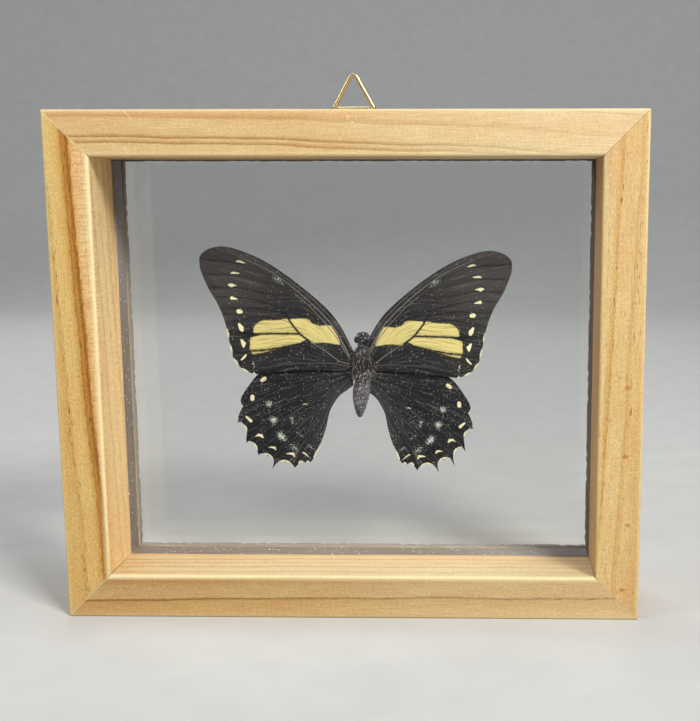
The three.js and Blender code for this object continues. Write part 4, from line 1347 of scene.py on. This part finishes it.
eye_material, tree, shader = new_material("eye_skin", Coat_Weight=0.6, Coat_Roughness=0.08)
facets = add_node(tree, "ShaderNodeTexVoronoi", {"Vector": object_place(tree), "Scale": 7.0})
flecks = noise(tree, object_place(tree), scale=1.3, detail=2)
tone = mixed(tree, step_up(tree, flecks, 0.50, 0.68), colour(15, 14, 21), colour(84, 86, 110))
add_finish(tree, shader, tone, step_up(tree, flecks, 0.3, 0.7, 0.18, 0.4), facets.outputs["Distance"],
           0.02)
for side, centre in eyes.items():
    shape = ball(np.add(centre, (0, body_middle, 0)), eye_radii, rows=22, around=40)
    add_piece("eye_" + side, [shape], eye_material, "frame", smooth_under=80)

# ---- legs and proboscis -----------------------------------------------------------------------------
# On the underside, towards the back pane, six thin jointed legs lie folded against the thorax, and
# the feeding tube is coiled under the head like a watch spring.

leg_material, tree, shader = new_material("leg_skin", Specular_IOR_Level=0.4)
leg_spots = noise(tree, object_place(tree), scale=1.8, detail=3)
tone = mixed(tree, step_up(tree, leg_spots, 0.4, 0.65), colour(30, 27, 27), colour(88, 80, 76))
add_finish(tree, shader, tone, step_up(tree, leg_spots, 0.3, 0.7, 0.4, 0.65), leg_spots, 0.04)
limb_margin = 0.05       # kept clear of the panes
# for each leg: the heights and turns round the body that it passes, and how far off the skin it lies
leg_routes = [
    [(80.5, 250, 0.1), (81.6, 222, 0.35), (79.6, 214, 0.4), (77.6, 226, 0.3), (75.6, 240, 0.15)],
    [(78.2, 252, 0.1), (77.4, 224, 0.35), (75.2, 220, 0.4), (72.8, 230, 0.3), (70.6, 240, 0.2)],
    [(75.8, 254, 0.1), (73.8, 230, 0.35), (71.4, 224, 0.5), (69.0, 232, 0.5), (66.6, 244, 0.3)],
]
for i, route in enumerate(leg_routes):
    for side in ("left", "right"):
        height, turn, stand = np.array(route, float).T
        if side == "right":
            turn = 540 - turn
        line = body_point(height, np.radians(turn), stand)
        line = evenly(curve_through(line, 80), 0.25)
        radii = 0.20 - 0.10 * np.linspace(0, 1, len(line)) ** 0.8
        points, faces = tube(line, radii, flat=1.0, sides=8, normal=(0.2, 0.1, 1.0))
        add_piece(f"leg_{side}_{i + 1}", [(inside_gap(points, limb_margin), faces)], leg_material,
                  "frame", smooth_under=70)


def coil(centre, inner, outer, turns, count):
    """A flat spiral in the plane of Y and Z, whose radius grows evenly from inner to outer."""
    t = np.linspace(0, 1, count)
    radius = inner + (outer - inner) * t
    turn = 2 * math.pi * turns * t
    return np.stack([centre[0] + 0.25 * t, centre[1] + radius * np.cos(turn),
                     centre[2] + radius * np.sin(turn)], axis=1)


spiral = coil((1.7, body_middle + 2.35, 83.2), inner=0.18, outer=0.85, turns=3.2, count=150)
points, faces = tube(spiral, np.linspace(0.06, 0.11, len(spiral)), flat=1.0, sides=8,
                     normal=(1.0, 0.0, 0.0))
add_piece("coiled_proboscis", [(inside_gap(points, limb_margin), faces)], leg_material, "frame",
          smooth_under=70)

# ---- hanging ring -----------------------------------------------------------------------------------
# Brass-plated steel wire, bent to a triangle with its ends meeting in the middle of the bar. The plating is
# yellow with a steel-white shine, and duller in patches.

ring_low, ring_high = box_corners("hanger_ring")
ring_wire = 0.6
plated_wire = 0.68       # with its plating
ring_middle, ring_y, _ = (ring_low + ring_high) / 2
ring_axis = ring_low[2] + ring_wire
ring_width = 14.2
ring_height = 12.6
ring_bend = 0.9
apex_bend = 1.3
ring_gap = 0.3


def cubic(start, first, second, end, share):
    """The cubic curve from start to end that leaves towards first and arrives from second."""
    left = 1 - share
    return (left ** 3 * start + 3 * left ** 2 * share * first + 3 * left * share ** 2 * second
            + share ** 3 * end)


def rounded_run(corners, bends, step):
    """Straight runs through corners, with each inner corner swapped for a cubic curve that meets the
    runs where a circle of the bend's radius would."""
    corners = np.array(corners, float)
    line = [corners[:1]]
    s = np.linspace(0, 1, 12)[:, None]
    for before, corner, after, bend in zip(corners, corners[1:], corners[2:], bends):
        to_before, to_after = unit(before - corner), unit(after - corner)
        angle = math.acos(to_before @ to_after)
        enter = corner + to_before * bend / math.tan(angle / 2)
        leave = corner + to_after * bend / math.tan(angle / 2)
        handle = 4 / 3 * math.tan((math.pi - angle) / 4) * bend
        line.append(cubic(enter, enter - to_before * handle, leave - to_after * handle, leave, s))
    line.append(corners[-1:])
    return evenly(np.concatenate(line), step)


brass, tree, shader = new_material("brass_plate", Metallic=1.0, IOR=1.5)
place = object_place(tree)
worn = noise(tree, place, scale=0.9, detail=4, roughness=0.6)
drawn = noise(tree, place, (4, 4, 1.2), seed=2)
tone = painted(tree, colour(246, 232, 182), (step_up(tree, worn, 0.40, 0.66), colour(232, 208, 136)),
               (step_up(tree, drawn, 0.54, 0.72, 0, 0.6), colour(246, 240, 226)))
add_finish(tree, shader, tone, step_up(tree, worn, 0.3, 0.7, 0.26, 0.42), drawn, 0.002)
ring_corners = [(ring_gap / 2, 0), (ring_width / 2, 0), (0, ring_height), (-ring_width / 2, 0),
                (-ring_gap / 2, 0)]
ring_line = rounded_run(ring_corners, (ring_bend, apex_bend, ring_bend), 0.16)
ring_line = np.stack([ring_middle + ring_line[:, 0], np.full(len(ring_line), ring_y),
                      ring_axis + ring_line[:, 1]], axis=1)
shape = tube(ring_line, np.full(len(ring_line), plated_wire), flat=1.0, sides=20)
piece = add_piece("brass_ring", [shape], brass, "ring", smooth_under=50)
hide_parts("hanger_ring")

# ---- hanger strap -----------------------------------------------------------------------------------
# A strip of brass-plated sheet, folded round the ring's bar, with both ends held flat on the back of
# the top rail by one screw.

strap_low, strap_high = box_corners("hanger_strap")
strap_middle, _, _ = (strap_low + strap_high) / 2
strap_width = strap_high[0] - strap_low[0]
strap_thickness = 0.5
strap_loop = 0.9
strap_pinch = 0.12
strap_corner = 1.5
strap_round = 0.1


def strap_line():
    """The strip's middle line as depth and height from the ring's axis: up the layer on the wood,
    over the bar, in to the back of that layer, and down again."""
    r = strap_loop + strap_thickness / 2
    foot = strap_low[2] - ring_axis
    back = -r + strap_thickness + strap_pinch
    turn = np.radians(np.arange(180, -46, -7.5))
    over = np.stack([r * np.cos(turn), r * np.sin(turn)], axis=1)
    s = np.linspace(0, 1, 10)[1:, None]
    neck = cubic(over[-1], *np.array([(0.25, -1.4), (back, -1.7), (back, -2.9)]), s)
    return evenly(np.concatenate([[(-r, foot)], over, neck, [(back, foot)]]), 0.2)


def strip_shape(line):
    """The strip: at each point of the line, a flat rounded section that is narrowed near the foot, as
    a circle of the corner's radius has it. Gives points and faces."""
    out = turned(unit(np.gradient(line, axis=0)))
    rise = np.clip(strap_corner - (line[:, 1] - line[:, 1].min()), 0, strap_corner)
    half = strap_width / 2 - strap_corner + np.sqrt(strap_corner ** 2 - rise ** 2)
    h = strap_thickness / 2
    side = np.linspace(-1, 1, 15)
    face = np.ones_like(side)
    corner = np.radians(np.linspace(-60, 60, 5))
    edge = np.ones_like(corner)
    # once round the section: one face, one edge, the other face, the other edge. flat is in half
    # widths, bulge in edge radii and level in mm
    flat = np.concatenate([side, edge, side[::-1], -edge])
    bulge = np.concatenate([0 * face, np.cos(corner), 0 * face, -np.cos(corner)])
    level = h * np.concatenate([-face, np.sin(corner), face, -np.sin(corner)])
    across = half[:, None] * flat[None] + strap_round * bulge[None] - strap_round * np.sign(flat)[None]
    depth = line[:, 0, None] + out[:, 0, None] * level[None]
    height = line[:, 1, None] + out[:, 1, None] * level[None]
    points = np.stack([strap_middle + across, ring_y + depth, ring_axis + height], axis=-1)
    return points, bar_faces(*points.shape[:2])


piece = add_piece("brass_strap", [strip_shape(strap_line())], brass, "frame")
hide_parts("hanger_strap")

# ---- screw ------------------------------------------------------------------------------------------
# A small slotted round-head screw, brass-plated, driven through both layers of the strap.

screw_low, screw_high = box_corners("hanger_screw")
screw_x, _, screw_z = (screw_low + screw_high) / 2
screw_head = (screw_high[0] - screw_low[0]) / 2
screw_shank = 0.8
thread_pitch = 0.8
thread_rows = 90
around_screw = 72
head_height = 0.8
rim_height = 0.2
rim_arris = 0.12
slot_half = 0.24
slot_depth = 0.35
slot_turn = math.radians(25)


def screw_shape():
    """Rings about the screw's axis: the tip, the threaded shank, whose radius ripples as a screw of
    the pitch, the underside of the head, its rim, and its dome, into which the slot is pressed
    wherever a point is nearer the slot's line than half its width."""
    turn = full_turn(around_screw)[None, :]
    tip = screw_low[1] + 0.1
    under = screw_high[1] - head_height
    shank_y = np.linspace(tip, under, thread_rows)[:, None]
    grow = np.clip((shank_y - tip) / 2.0, 0.04, 1)
    thread = 0.12 * np.cos(turn - 2 * math.pi * shank_y / thread_pitch)
    shank_r = screw_shank * grow * (0.88 + thread)
    rim = np.array([(screw_head - rim_arris, under), (screw_head, under + rim_arris),
                    (screw_head, under + rim_height)])
    fall = np.linspace(0.02, 1, 30)[::-1]
    rise = (head_height - rim_height) * np.sqrt(1 - fall ** 2)
    dome = np.stack([screw_head * fall, under + rim_height + rise], axis=1)
    head_r, head_y = np.concatenate([rim, dome[1:]]).T[:, :, None]
    all_round = np.ones((1, around_screw))
    r = np.concatenate([shank_r, head_r * all_round])
    y = np.concatenate([shank_y, head_y]) * all_round
    x, z = r * np.cos(turn), r * np.sin(turn)
    off_slot = np.abs(x * math.sin(slot_turn) - z * math.cos(slot_turn))
    pressed = np.clip((slot_half - off_slot) / 0.05, 0, 1)
    floor_y = screw_high[1] - slot_depth
    y = np.where(y > floor_y, y + (floor_y - y) * pressed, y)
    points = np.stack([screw_x + x, y, screw_z + z], axis=-1)
    return points, bar_faces(*points.shape[:2])


piece = add_piece("brass_screw", [screw_shape()], brass, "frame", smooth_under=40)
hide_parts("hanger_screw")
